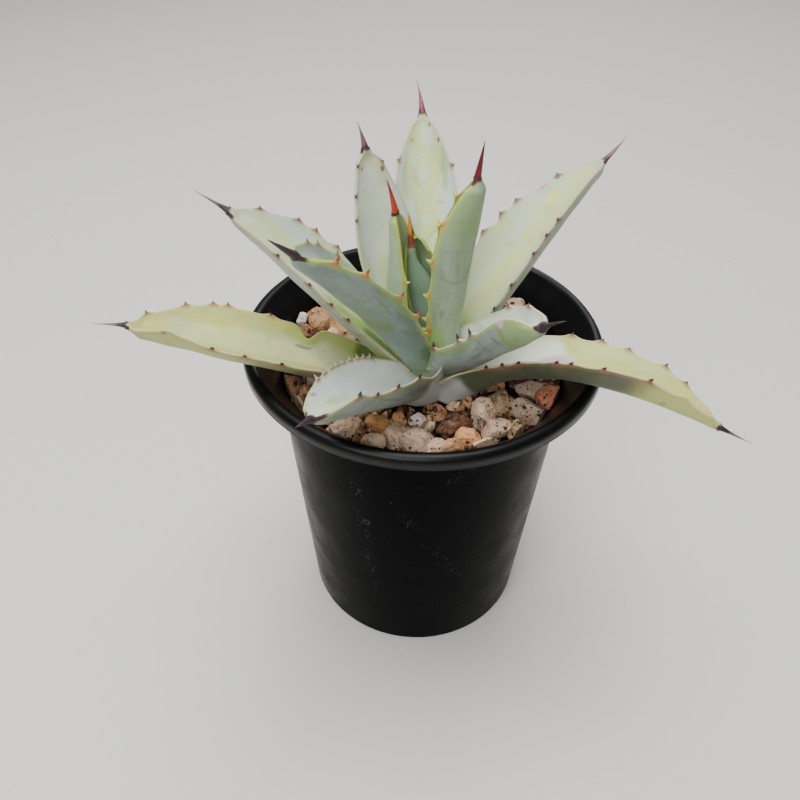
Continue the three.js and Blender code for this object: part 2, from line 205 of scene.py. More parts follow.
# ---- finishes ----
class Graph:
    """The node tree of one finish, built a node at a time."""

    BOTH_SIDES = 1e6  # stretch that makes face and back count the same

    def __init__(self, name: str) -> None:
        """Makes a material with one Principled shader.

        Args:
            name: The name of the material.
        """
        self.material = bpy.data.materials.new(name)
        self.material.use_nodes = True
        self.tree = self.material.node_tree
        self.tree.nodes.clear()
        self.shader = self.add("ShaderNodeBsdfPrincipled")
        output = self.add("ShaderNodeOutputMaterial")
        self.tree.links.new(self.shader.outputs["BSDF"], output.inputs["Surface"])

    def add(self, kind: str, **settings: object) -> Node:
        """Adds a node.

        Args:
            kind: Blender's name of the node's type.
            settings: Its properties.

        Returns:
            The node.
        """
        node = self.tree.nodes.new(kind)
        for key, value in settings.items():
            setattr(node, key, value)
        return node

    def feed(self, node: Node, **values: object) -> Node:
        """Sets or links inputs of a node, named by their labels with _ for a space.

        Args:
            node: The node.
            values: A number, colour or socket for each input.

        Returns:
            The same node.
        """
        for label, value in values.items():
            self.wire(node.inputs[label.replace("_", " ")], value)
        return node

    def wire(self, socket: Socket, value: object) -> None:
        """Links a socket, or sets it where the value is plain."""
        if isinstance(value, Socket):
            self.tree.links.new(value, socket)
        else:
            socket.default_value = value

    def place(self) -> Socket:
        """Returns the point's place on the object, in metres."""
        return self.add("ShaderNodeTexCoord").outputs["Object"]

    def attribute(self, name: str, output: str = "Fac") -> Socket:
        """Returns a value that the mesh carries at its vertices.

        Args:
            name: The attribute.
            output: Fac, Vector or Color.

        Returns:
            That output.
        """
        return self.add("ShaderNodeAttribute", attribute_name=name).outputs[output]

    def split(self, vector: Socket) -> tuple[Socket, Socket, Socket]:
        """Returns the three parts of a vector."""
        outputs = self.feed(self.add("ShaderNodeSeparateXYZ"), Vector=vector).outputs
        return outputs[0], outputs[1], outputs[2]

    def vector(self, operation: str, *parts: object, output: int | str = 0) -> Socket:
        """Returns the result of vector arithmetic.

        Args:
            operation: Blender's name of it.
            parts: The vectors that it takes, as sockets or plain.
            output: Which result: 0 for a vector, "Value" for a number.

        Returns:
            The result.
        """
        node = self.add("ShaderNodeVectorMath", operation=operation)
        for socket, part in zip(node.inputs, parts):
            self.wire(socket, part)
        return node.outputs[output]

    def stretch(self, vector: Socket, size: Triple) -> Socket:
        """Returns a vector divided, part by part, by a size."""
        return self.vector("DIVIDE", vector, size)

    def noise(self, vector: Socket, size: float, detail: float = 2, warp: float = 0) -> Socket:
        """Returns soft noise from 0 to 1.

        Args:
            vector: The place to read it at.
            size: How far apart its bumps lie, in the vector's own unit.
            detail: How many finer layers it has.
            warp: How far it is stirred.

        Returns:
            The noise.
        """
        node = self.add("ShaderNodeTexNoise")
        return self.feed(node, Vector=vector, Scale=1 / size, Detail=detail, Distortion=warp).outputs[0]

    def cells(self, vector: Socket, size: float) -> tuple[Socket, Socket]:
        """Returns the distance to the nearest scattered point, and that point's random colour.

        Args:
            vector: The place to read it at.
            size: How far apart the points lie, in the vector's own unit.

        Returns:
            The distance as a share of the size, and the colour.
        """
        outputs = self.feed(self.add("ShaderNodeTexVoronoi"), Vector=vector, Scale=1 / size).outputs
        return outputs["Distance"], outputs["Color"]

    def stir(self, vector: Socket, size: float, amount: float) -> Socket:
        """Returns a place led astray by noise.

        Args:
            vector: The place.
            size: How far apart the noise's bumps lie.
            amount: How far it leads.

        Returns:
            The new place.
        """
        swirl = self.feed(self.add("ShaderNodeTexNoise"), Vector=vector, Scale=1 / size, Detail=2)
        return self.vector("MULTIPLY_ADD", swirl.outputs["Color"], (amount,) * 3, vector)

    def span(self, value: Socket, low: float, high: float, start: float = 0, end: float = 1) -> Socket:
        """Returns a soft ramp.

        Args:
            value: What it follows.
            low: Where it starts.
            high: Where it ends.
            start: Its value up to low.
            end: Its value from high on.

        Returns:
            The ramp.
        """
        node = self.add("ShaderNodeMapRange", interpolation_type="SMOOTHSTEP")
        return self.feed(
            node, Value=value, From_Min=low, From_Max=high, To_Min=start, To_Max=end,
        ).outputs[0]

    def sum(self, first: Value, second: Value, operation: str = "ADD") -> Socket:
        """Returns two numbers joined by an operation: their sum, unless it names another one."""
        node = self.add("ShaderNodeMath", operation=operation)
        self.wire(node.inputs[0], first)
        self.wire(node.inputs[1], second)
        return node.outputs[0]

    def times(self, first: Value, *others: Value) -> Socket:
        """Returns the product of numbers."""
        product = first
        for other in others:
            product = self.sum(product, other, "MULTIPLY")
        return product

    def mix(self, share: Value, start: Colour | Socket, end: Colour | Socket, mode: str = "MIX") -> Socket:
        """Returns two colours mixed.

        Args:
            share: How much of the second one.
            start: The first colour.
            end: The second colour.
            mode: How the second one is laid on.

        Returns:
            The mixed colour.
        """
        node = self.add("ShaderNodeMix", data_type="RGBA", blend_type=mode)
        for at, value in ((0, share), (6, start), (7, end)):
            self.wire(node.inputs[at], value)
        return node.outputs[2]

    def bump(self, height: Socket, depth: float, under: Socket | None = None) -> Socket:
        """Returns a normal that shows a relief.

        Args:
            height: The relief from 0 to 1.
            depth: How high 1 stands, in millimetres.
            under: A normal that it is laid on.

        Returns:
            The normal.
        """
        node = self.add("ShaderNodeBump")
        self.feed(node, Height=height, Distance=depth * METRES)
        if under is not None:
            self.feed(node, Normal=under)
        return node.outputs[0]

    def near(self, skin: Socket, middle: tuple[float, float], half: tuple[float, float]) -> Socket:
        """Returns how far a point of the skin lies from an ellipse's middle: 1 on its outline.

        Args:
            skin: Place on the skin: across, along and face.
            middle: The ellipse's middle, across and along.
            half: Its half sizes, across and along.

        Returns:
            The distance.
        """
        away = self.vector("SUBTRACT", skin, (*middle, 0.0))
        return self.vector("LENGTH", self.stretch(away, (*half, self.BOTH_SIDES)), output="Value")


@dataclass(frozen=True)
class PlasticFinish:
    """Moulded black polypropylene, semi-gloss, with dust, fine scratches and dried drops."""

    name: str = "pot_plastic"
    base: Colour = paint("#030304")
    dusty: Colour = paint("#0d0c12")
    scratch: Colour = paint("#5a5860")
    roughness: tuple[float, float] = (0.24, 0.36)
    shine: float = 0.02

    # How far apart the bumps of its patterns lie, in metres.
    CLOUD, GRAIN, SPECK, DOT, SHEEN, DENT = 0.03, 0.0006, 0.007, 0.0011, 0.012, 0.0016
    HAIR = (0.0011, 0.0007, 0.03)
    SCUFF_EDGE = (0.0006, 0.0034)  # from where to where a scuff fades
    # Small dried rings: place on the wall in millimetres, and radius.
    RINGS = (((-18.6, -47.5, 101.0), 1.2), ((-16.5, -44.6, 73.0), 1.2), ((27.6, -34.0, 8.5), 0.9))
    # Dotted scuffs: from where to where, in millimetres.
    SCUFFS = (
        ((-4.0, -47.4, 80.0), (16.5, -43.0, 43.0)),
        ((-20.0, -44.0, 92.0), (-14.0, -42.0, 34.0)),
        ((11.0, -48.5, 98.0), (16.0, -46.5, 103.0)),
    )

    def ring(self, graph: Graph, place: Socket, middle: Triple, radius: float) -> Socket:
        """Returns how clearly a dried drop's outline shows at a place.

        Args:
            graph: The finish being built.
            place: The place, in metres.
            middle: The middle of the drop, in millimetres.
            radius: Its radius, in millimetres.

        Returns:
            The share, from 0 to 1.
        """
        away = graph.vector("DISTANCE", place, tuple(METRES * part for part in middle), output="Value")
        off = graph.sum(graph.times(away, 1 / METRES / radius), 1, "SUBTRACT")
        return graph.span(graph.times(off, off), 0.01, 0.08, 1, 0)

    def scuff(self, graph: Graph, place: Socket, start: tuple[float, ...], end: tuple[float, ...]) -> Socket:
        """Returns how clearly a dotted scuff shows at a place.

        Args:
            graph: The finish being built.
            place: The place, in metres.
            start: Where it starts, in millimetres.
            end: Where it ends.

        Returns:
            The share, from 0 to 1.
        """
        first, last = Vector(start) * METRES, Vector(end) * METRES
        run = last - first
        away = graph.vector("SUBTRACT", place, tuple(first))
        along = graph.vector("DOT_PRODUCT", away, tuple(run / run.length_squared), output="Value")
        held = graph.feed(graph.add("ShaderNodeClamp"), Value=along).outputs[0]
        foot = graph.feed(graph.add("ShaderNodeVectorMath", operation="SCALE"), Vector=tuple(run), Scale=held)
        off = graph.vector("DISTANCE", away, foot.outputs[0], output="Value")
        return graph.span(off, *self.SCUFF_EDGE, 1, 0)

    def build(self) -> Material:
        """Returns the material."""
        graph = Graph(self.name)
        place = graph.place()
        clouds = graph.noise(place, self.CLOUD, 4)
        film = graph.span(clouds, 0.45, 0.8, 0, 0.2)
        grain = graph.noise(place, self.GRAIN, 2)
        dust = graph.times(film, graph.span(grain, 0.4, 0.7))
        hair = graph.noise(graph.stretch(place, self.HAIR), 1, 3, 0.6)
        scratches = graph.times(graph.span(hair, 0.7, 0.76), graph.span(clouds, 0.5, 0.7), 0.14)
        specks, chance = graph.cells(place, self.SPECK)
        rare, _, _ = graph.split(chance)
        speckle = graph.times(graph.span(specks, 0.02, 0.05, 0.6, 0), graph.span(rare, 0.74, 0.78))
        dots = graph.span(graph.noise(place, self.DOT, 4, 0.6), 0.58, 0.68)
        marks = graph.sum(scratches, speckle, "MAXIMUM")
        for start, end in self.SCUFFS:
            marks = graph.sum(marks, graph.times(self.scuff(graph, place, start, end), dots, 0.36), "MAXIMUM")
        for middle, radius in self.RINGS:
            marks = graph.sum(marks, graph.times(self.ring(graph, place, middle, radius), 0.3), "MAXIMUM")
        colour = graph.mix(dust, self.base, self.dusty)
        colour = graph.mix(marks, colour, self.scratch)
        low, high = self.roughness
        rough = graph.span(graph.noise(place, self.SHEEN, 5), 0.3, 0.7, low, high)
        relief = graph.bump(graph.noise(place, self.DENT, 3), 0.008)
        relief = graph.bump(marks, -0.03, relief)
        graph.feed(graph.shader, Base_Color=colour, Roughness=rough, Normal=relief)
        graph.feed(graph.shader, Specular_IOR_Level=self.shine)
        return graph.material


@dataclass(frozen=True)
class StoneFinish:
    """Dry porous stone, tinted stone by stone through the mesh's own tint."""

    pore: Colour = paint("#1d130d")
    crust: Colour = paint("#d9bd9c")
    stain: Colour = paint("#8a5a34")

    # How far apart the bumps of its patterns lie, in metres.
    MOTTLE, STAIN, GRAIN, ROUGH, BEND = 0.0024, 0.0055, 0.00045, 0.0014, 0.0016
    # Two sizes of pore: how far apart, how many for the stone's share, and their least radius.
    PORES = ((0.0022, 1.0, 0.15), (0.0011, 1.3, 0.13))
    PORE_GROWTH, PORE_EDGE = 0.16, 0.1

    def pores(self, graph: Graph, place: Socket, apart: float, share: Value, wide: float) -> Socket:
        """Returns where pores lie.

        Args:
            graph: The finish being built.
            place: The place to read them at.
            apart: How far apart they lie.
            share: The share of the places that have one.
            wide: Their least radius, as a share of the distance.

        Returns:
            The share, from 0 to 1.
        """
        near, chance = graph.cells(place, apart)
        pick, size, _ = graph.split(chance)
        chosen = graph.sum(pick, share, "LESS_THAN")
        grown = graph.sum(near, graph.times(size, self.PORE_GROWTH), "SUBTRACT")
        return graph.times(graph.span(grown, wide, wide + self.PORE_EDGE, 1, 0), chosen)

    def build(self) -> Material:
        """Returns the material."""
        graph = Graph("gravel_stone")
        place = graph.place()
        tint = graph.attribute("tint", "Color")
        holes = graph.attribute("holes")
        mottle = graph.noise(place, self.MOTTLE, 6, 0.5)
        colour = graph.mix(graph.span(mottle, 0.52, 0.72, 0, 0.35), tint, self.crust)
        colour = graph.mix(graph.span(mottle, 0.52, 0.3, 0, 0.65), colour, tint, "MULTIPLY")
        stains = graph.span(graph.noise(place, self.STAIN, 4, 0.8), 0.5, 0.72, 0, 0.4)
        colour = graph.mix(stains, colour, self.stain)
        grain = graph.noise(place, self.GRAIN, 4)
        colour = graph.mix(graph.span(grain, 0.36, 0.6, 0.5, 0), colour, tint, "MULTIPLY")
        bent = graph.stir(place, self.BEND, self.BEND)
        large, small = (
            self.pores(graph, bent, apart, graph.times(holes, more), wide) for apart, more, wide in self.PORES
        )
        pores = graph.sum(large, small, "MAXIMUM")
        colour = graph.mix(graph.times(pores, 0.9), colour, self.pore)
        relief = graph.bump(graph.noise(place, self.ROUGH, 6), 0.3)
        relief = graph.bump(grain, 0.09, relief)
        relief = graph.bump(pores, -0.4, relief)
        graph.feed(graph.shader, Base_Color=colour, Roughness=0.92, Normal=relief, Specular_IOR_Level=0.25)
        return graph.material


@dataclass(frozen=True)
class SoilFinish:
    """Dark gritty growing mix, or the fine dust between the stones, where its darkness is also painted shade
    in the gaps.
    """

    name: str
    dark: Colour = paint("#17100b")
    light: Colour = paint("#4e3a2a")

    GRAIN, CRUMB = 0.0016, 0.002  # how far apart its grains and crumbs lie, in metres

    def build(self) -> Material:
        """Returns the material."""
        graph = Graph(self.name)
        place = graph.place()
        grain = graph.noise(place, self.GRAIN, 6)
        near, _ = graph.cells(place, self.CRUMB)
        colour = graph.mix(graph.span(grain, 0.4, 0.75), self.dark, self.light)
        relief = graph.bump(graph.sum(grain, near, "SUBTRACT"), 0.8)
        graph.feed(graph.shader, Base_Color=colour, Roughness=0.95, Normal=relief, Specular_IOR_Level=0.2)
        return graph.material


@dataclass(frozen=True)
class StemFinish:
    """Pale green stem with brown scars of fallen leaves."""

    green: Colour = paint("#9aa77f")
    scar: Colour = paint("#5b4632")

    SCARS = (0.02, 0.02, 0.0022)  # how far apart the scars lie, in metres

    def build(self) -> Material:
        """Returns the material."""
        graph = Graph("stem_bark")
        place = graph.place()
        rings = graph.noise(graph.stretch(place, self.SCARS), 1, 3)
        colour = graph.mix(graph.span(rings, 0.45, 0.6), self.green, self.scar)
        relief = graph.bump(rings, 0.5)
        graph.feed(graph.shader, Base_Color=colour, Roughness=0.75, Normal=relief)
        return graph.material


class MarkKind(Enum):
    """What a mark on a leaf is: its colour."""

    SPOT = paint("#6b4a34")  # healed brown speck
    GASH = paint("#1c140f")  # split in the skin
    RUBBED = paint("#6f8048")  # where the bloom is rubbed off
    YELLOW = paint("#cdd07a")  # yellowed patch; on right_low's underside, painted light where the side turns up towards the tip
    FRESH = paint("#7c9c38")  # green that never had bloom
    DEEP = paint("#3f5a22")  # the same in its darkest place
    SHADE = paint("#454b36")  # painted shade: dull green laid where an underside or a dent lies in shade
    WHITE = paint("#e6ecea")  # thick bloom; on front_left's face, also painted light where the leaves above shade it
    RING = paint("#7a6a52")  # outline of a healed wound
    PRINT = paint("#71854e")  # outline that a neighbour pressed into the bud
    BLUSH = paint("#c79ac0")  # mauve flush

    @property
    def outline(self) -> bool:
        """Whether only the mark's outline shows."""
        return self in (MarkKind.RING, MarkKind.PRINT)

    @property
    def line(self) -> float:
        """How broad that outline is."""
        return 0.2 if self is MarkKind.RING else 0.03


@dataclass(frozen=True)
class Mark:
    """One mark on the skin of a leaf, in millimetres across (left is positive) and along it."""

    kind: MarkKind
    across: float
    along: float
    half_across: float
    half_along: float
    strength: float = 1.0
    on_face: bool = True
    ragged: float = 0.5
    open_above: bool = False  # whether only the half towards the leaf's root shows


@dataclass(frozen=True)
class LeafFinish:
    """Smooth succulent skin under a powdery bloom, with a horny line along its margins."""

    face: Colour = paint("#b3bf9c")
    heart: Colour = paint("#c3ca8c")  # down the middle of the face, and in patches
    cool: Colour = paint("#c2ced0")  # where the bloom is thick
    cool_share: float = 0.75
    back_cool: float = 0.8  # how much of that there is on the back
    # The underside's colour; on the old leaves and on front_left it is darker, as painted shade on undersides
    # that the pale floor lights from below.
    back: Colour = paint("#98a48c")
    root: Colour = paint("#98b060")
    root_reach: float = 0.22
    green: Colour = paint("#748c50")  # where the bloom is thin
    smudge: float = 0.25
    soiled: Colour = paint("#56614f")
    margin: Colour = paint("#c9bda6")
    hem: Colour = paint("#a0ad58")  # band beside the margin
    hem_wide: float = 0.7
    hem_share: float = 0.45
    seat: Colour = paint("#96604c")  # swelling that carries a tooth
    blush: Colour = paint("#b79aa6")
    blush_share: float = 0.14
    patchy: float = 0.3  # how much of the bloom is thin
    horn: Colour = paint("#3a2026")
    decurrent: float = 1.2  # how far the spine's horn runs down the margins
    powder: Colour = paint("#dfe4d6")
    powder_share: float = 0.14

    # How far apart the bumps of its patterns lie across and along the leaf, in millimetres.
    FIBRES, DRIFT, STREAKS, PATCHES = (0.9, 18, 1), (7, 20, 1), (4, 22, 1), (8, 15, 1)
    SMUDGES, BANDS = (2.4, 13, 1), (16, 2.6, 1)
    CLOUDS, GRAINS, DENTS, FLUSH, WOBBLE = 7, 0.35, 3.6, 11, 2.2
    GLOW = (0.0014, 0.002, 0.0009)  # how far red, green and blue light goes under the skin, in metres

    def build(self, name: str, length: float, width: float, marks: tuple[Mark, ...]) -> Material:
        """Returns the material of one leaf.

        Args:
            name: The name of the material.
            length: The leaf's length.
            width: Its width.
            marks: What it has suffered.

        Returns:
            The material.
        """
        graph = Graph(name)
        skin = graph.attribute("skin", "Vector")
        _, _, side = graph.split(skin)
        face = graph.span(side, -0.25, 0.25)
        colour = self.bloom(graph, skin, face, length, width)
        for mark in marks:
            colour = self.lay_mark(graph, colour, skin, face, mark)
        colour = self.edge(graph, colour, skin, face)
        fibres = graph.noise(graph.stretch(skin, self.FIBRES), 1, 3)
        relief = graph.bump(graph.noise(skin, self.DENTS, 4, 0.5), 0.14)
        relief = graph.bump(fibres, 0.03, relief)
        relief = graph.bump(graph.noise(skin, self.GRAINS, 3), 0.015, relief)
        rough = graph.span(graph.noise(skin, self.CLOUDS, 3, 0.3), 0.35, 0.7, 0.6, 0.46)
        graph.feed(
            graph.shader, Base_Color=colour, Roughness=rough, Normal=relief, Specular_IOR_Level=0.35,
            Subsurface_Weight=0.1, Subsurface_Radius=self.GLOW, Subsurface_Scale=1.0,
            Sheen_Weight=0.1, Sheen_Roughness=0.5,
        )
        return graph.material

    def bloom(self, graph: Graph, skin: Socket, face: Socket, length: float, width: float) -> Socket:
        """Returns the colour of the skin under its uneven bloom.

        Args:
            graph: The finish being built.
            skin: Place on the skin.
            face: 1 on the upper face, 0 on the back.
            length: The leaf's length.
            width: Its width.

        Returns:
            The colour.
        """
        across, along, _ = graph.split(skin)
        aside = graph.times(across, across)
        clouds = graph.noise(skin, self.CLOUDS, 3, 0.3)
        drift = graph.noise(graph.stretch(skin, self.DRIFT), 1, 2, 0.5)
        streak = graph.noise(graph.stretch(skin, self.STREAKS), 1, 3, 0.4)
        fine = graph.noise(graph.stretch(skin, self.FIBRES), 1, 3)
        powder = graph.noise(skin, self.GRAINS, 3)

        colour = graph.mix(face, self.back, self.face)
        patches = graph.noise(graph.stretch(skin, self.PATCHES), 1, 2, 0.6)
        colour = graph.mix(graph.times(graph.span(patches, 0.48, 0.64, 0, 0.55), face), colour, self.heart)
        chill = graph.times(graph.span(drift, 0.42, 0.6), graph.span(face, 0, 1, self.back_cool, 1))
        colour = graph.mix(graph.times(chill, self.cool_share), colour, self.cool)
        middle = graph.times(graph.span(aside, (0.3 * width) ** 2, 0), face, graph.span(streak, 0.3, 0.62))
        colour = graph.mix(graph.times(middle, 0.85), colour, self.heart)
        off_face = graph.sum(1, face, "SUBTRACT")
        smudges = graph.noise(graph.stretch(skin, self.SMUDGES), 1, 4, 0.8)
        bands = graph.noise(graph.stretch(skin, self.BANDS), 1, 3, 0.8)
        worn = graph.sum(graph.span(smudges, 0.5, 0.72), graph.span(bands, 0.55, 0.75), "MAXIMUM")
        colour = graph.mix(graph.times(worn, off_face, self.smudge), colour, self.soiled)
        thin = graph.span(clouds, 0.66 - 0.3 * self.patchy, 0.86 - 0.3 * self.patchy, 0, 0.5)
        colour = graph.mix(thin, colour, self.green)
        colour = graph.mix(graph.span(fine, 0.45, 0.8, 0, 0.12), colour, self.green)
        colour = graph.mix(graph.span(powder, 0.5, 0.8, 0, self.powder_share), colour, self.powder)
        reach = graph.sum(along, graph.times(streak, 0.3 * length), "SUBTRACT")
        bare = graph.span(reach, (self.root_reach - 0.12) * length, -0.1 * length, 0, 0.85)
        return graph.mix(bare, colour, self.root)

    def edge(self, graph: Graph, colour: Socket, skin: Socket, face: Socket) -> Socket:
        """Lays the hem, the horny line, the teeth's seats and the spine's horn over a colour.

        Args:
            graph: The finish being built.
            colour: The colour so far.
            skin: Place on the skin.
            face: 1 on the upper face, 0 on the back.

        Returns:
            The new colour.
        """
        edge, tip, tooth = (graph.attribute(part) for part in ("edge", "tip", "tooth"))
        warm = graph.span(graph.noise(skin, self.FLUSH, 2), 0.4, 0.65)
        flush = graph.times(graph.span(edge, 6, 0.4), warm)
        colour = graph.mix(graph.times(flush, self.blush_share), colour, self.blush)
        wobble = graph.noise(skin, self.WOBBLE, 3)
        ragged_edge = graph.sum(edge, graph.times(wobble, 0.8), "SUBTRACT")
        wide = graph.span(face, 0, 1, self.hem_wide, 0.45 * self.hem_wide)
        hem = graph.span(graph.sum(ragged_edge, wide, "SUBTRACT"), 0.25, -0.45, 0, self.hem_share)
        colour = graph.mix(hem, colour, self.hem)
        swelling = graph.times(graph.span(tooth, 0.3, 0.9, 0, 0.85), graph.span(edge, 1.8, 0.3))
        colour = graph.mix(swelling, colour, self.seat)
        thin_edge = graph.sum(edge, graph.times(wobble, 0.3), "SUBTRACT")
        colour = graph.mix(graph.span(thin_edge, 0.22, 0.0, 0, 0.85), colour, self.margin)
        point = graph.times(graph.span(tooth, 0.82, 1.0, 0, 0.8), graph.span(edge, 0.8, 0.1))
        colour = graph.mix(point, colour, self.horn)
        ragged = graph.sum(tip, graph.times(wobble, 1.4), "SUBTRACT")
        colour = graph.mix(graph.span(ragged, 0.7, -0.1), colour, self.horn)
        run = graph.times(
            graph.span(ragged, 1.15 * self.decurrent, 0.7 * self.decurrent), graph.span(edge, 0.75, 0.3),
        )
        return graph.mix(run, colour, self.horn)

    def lay_mark(self, graph: Graph, colour: Socket, skin: Socket, face: Socket, mark: Mark) -> Socket:
        """Lays one mark over a colour.

        Args:
            graph: The finish being built.
            colour: The colour so far.
            skin: Place on the skin.
            face: 1 on the upper face, 0 on the back.
            mark: What to lay on it.

        Returns:
            The new colour.
        """
        rough = graph.noise(skin, max(0.35 * (mark.half_across + mark.half_along), 0.3), 3)
        away = graph.near(skin, (mark.across, mark.along), (mark.half_across, mark.half_along))
        away = graph.sum(away, graph.times(graph.sum(rough, 0.5, "SUBTRACT"), 2 * mark.ragged))
        if mark.kind.outline:
            off = graph.sum(away, 1, "SUBTRACT")
            share = graph.span(graph.times(off, off), 0.0, mark.kind.line, mark.strength, 0)
        else:
            share = graph.span(away, 0.7, 1.3, mark.strength, 0)
        shown = face if mark.on_face else graph.sum(1, face, "SUBTRACT")
        if mark.open_above:
            _, along, _ = graph.split(skin)
            fade = 0.4 * mark.half_along
            shown = graph.times(shown, graph.span(along, mark.along + fade, mark.along - fade))
        return graph.mix(graph.times(share, shown), colour, mark.kind.value)


@dataclass(frozen=True)
class HornFinish:
    """Hard, smooth horn of a terminal spine or a tooth, from its root to its point."""

    root: Colour
    body: Colour
    point: Colour
    body_at: tuple[float, float]
    point_at: tuple[float, float]

    STREAK = 0.0009  # how far apart its streaks lie, in metres
    GLOW = (0.0012, 0.0006, 0.0004)  # how far red, green and blue light goes into it, in metres

    def build(self, name: str) -> Material:
        """Returns the material, which reads how far along the horn a point lies.

        Args:
            name: The name of the material.

        Returns:
            The material.
        """
        graph = Graph(name)
        place = graph.place()
        streak = graph.noise(place, self.STREAK, 3)
        reach = graph.sum(graph.attribute("horn"), graph.times(graph.sum(streak, 0.5, "SUBTRACT"), 0.2))
        colour = graph.mix(graph.span(reach, *self.body_at), self.root, self.body)
        colour = graph.mix(graph.span(reach, *self.point_at), colour, self.point)
        colour = graph.mix(graph.span(streak, 0.55, 0.8, 0, 0.35), colour, self.root)
        relief = graph.bump(streak, 0.08)
        graph.feed(
            graph.shader, Base_Color=colour, Roughness=0.4, Normal=relief, Specular_IOR_Level=0.45,
            Subsurface_Weight=0.08, Subsurface_Radius=self.GLOW, Subsurface_Scale=1.0,
        )
        return graph.material


def horn_of(
    root: str, body: str, point: str, body_at: tuple[float, float] = (0.1, 0.3),
    point_at: tuple[float, float] = (0.5, 0.8),
) -> HornFinish:
    """Returns a horn from the codes of its three colours and where two of them start and hold."""
    return HornFinish(paint(root), paint(body), paint(point), body_at, point_at)


class Horn(Enum):
    """The colours that spines and teeth have on this plant, by age and place."""

    GREY = horn_of("#2c2026", "#66545e", "#98868e", (0.25, 0.42), (0.5, 0.9))
    PURPLE = horn_of("#241820", "#33202a", "#4c3a45", (0.1, 0.3), (0.6, 0.9))
    MAUVE = horn_of("#44282f", "#7c5460", "#a48590", (0.12, 0.3))
    ROSE = horn_of("#5a2630", "#8a3f4e", "#9a6672", (0.12, 0.3))
    RED = horn_of("#4a151c", "#6c1420", "#471524", (0.05, 0.2), (0.55, 0.95))
    FLAME = horn_of("#4a1a14", "#b03a24", "#701e1a", (0.04, 0.14), (0.45, 0.9))
    AMBER = horn_of("#7a3e2c", "#cf9030", "#c08038", (0.3, 0.55), (0.8, 1.0))
    TOOTH_DARK = horn_of("#7c5440", "#33201e", "#1c1417", (0.3, 0.45), (0.6, 0.9))
    TOOTH_RUST = horn_of("#8f5a40", "#6e3428", "#3a1e1c", (0.35, 0.55), (0.7, 1.0))
    TOOTH_EMBER = horn_of("#c08c3e", "#9c4422", "#5a1e18", (0.3, 0.5), (0.7, 1.0))
    TOOTH_GOLD = horn_of("#a9b548", "#cfc04e", "#b9772c", (0.3, 0.5), (0.75, 1.0))
    TOOTH_PALE = horn_of("#b5bd96", "#b3a088", "#86705f", (0.3, 0.5), (0.75, 1.0))


class SpineShape(Enum):
    """How a spine narrows: the power of its cone, and the share that a thin needle takes."""

    STOUT = (1.05, 0.12)
    TAPERED = (1.75, 0.22)
    NEEDLE = (3.6, 0.3)


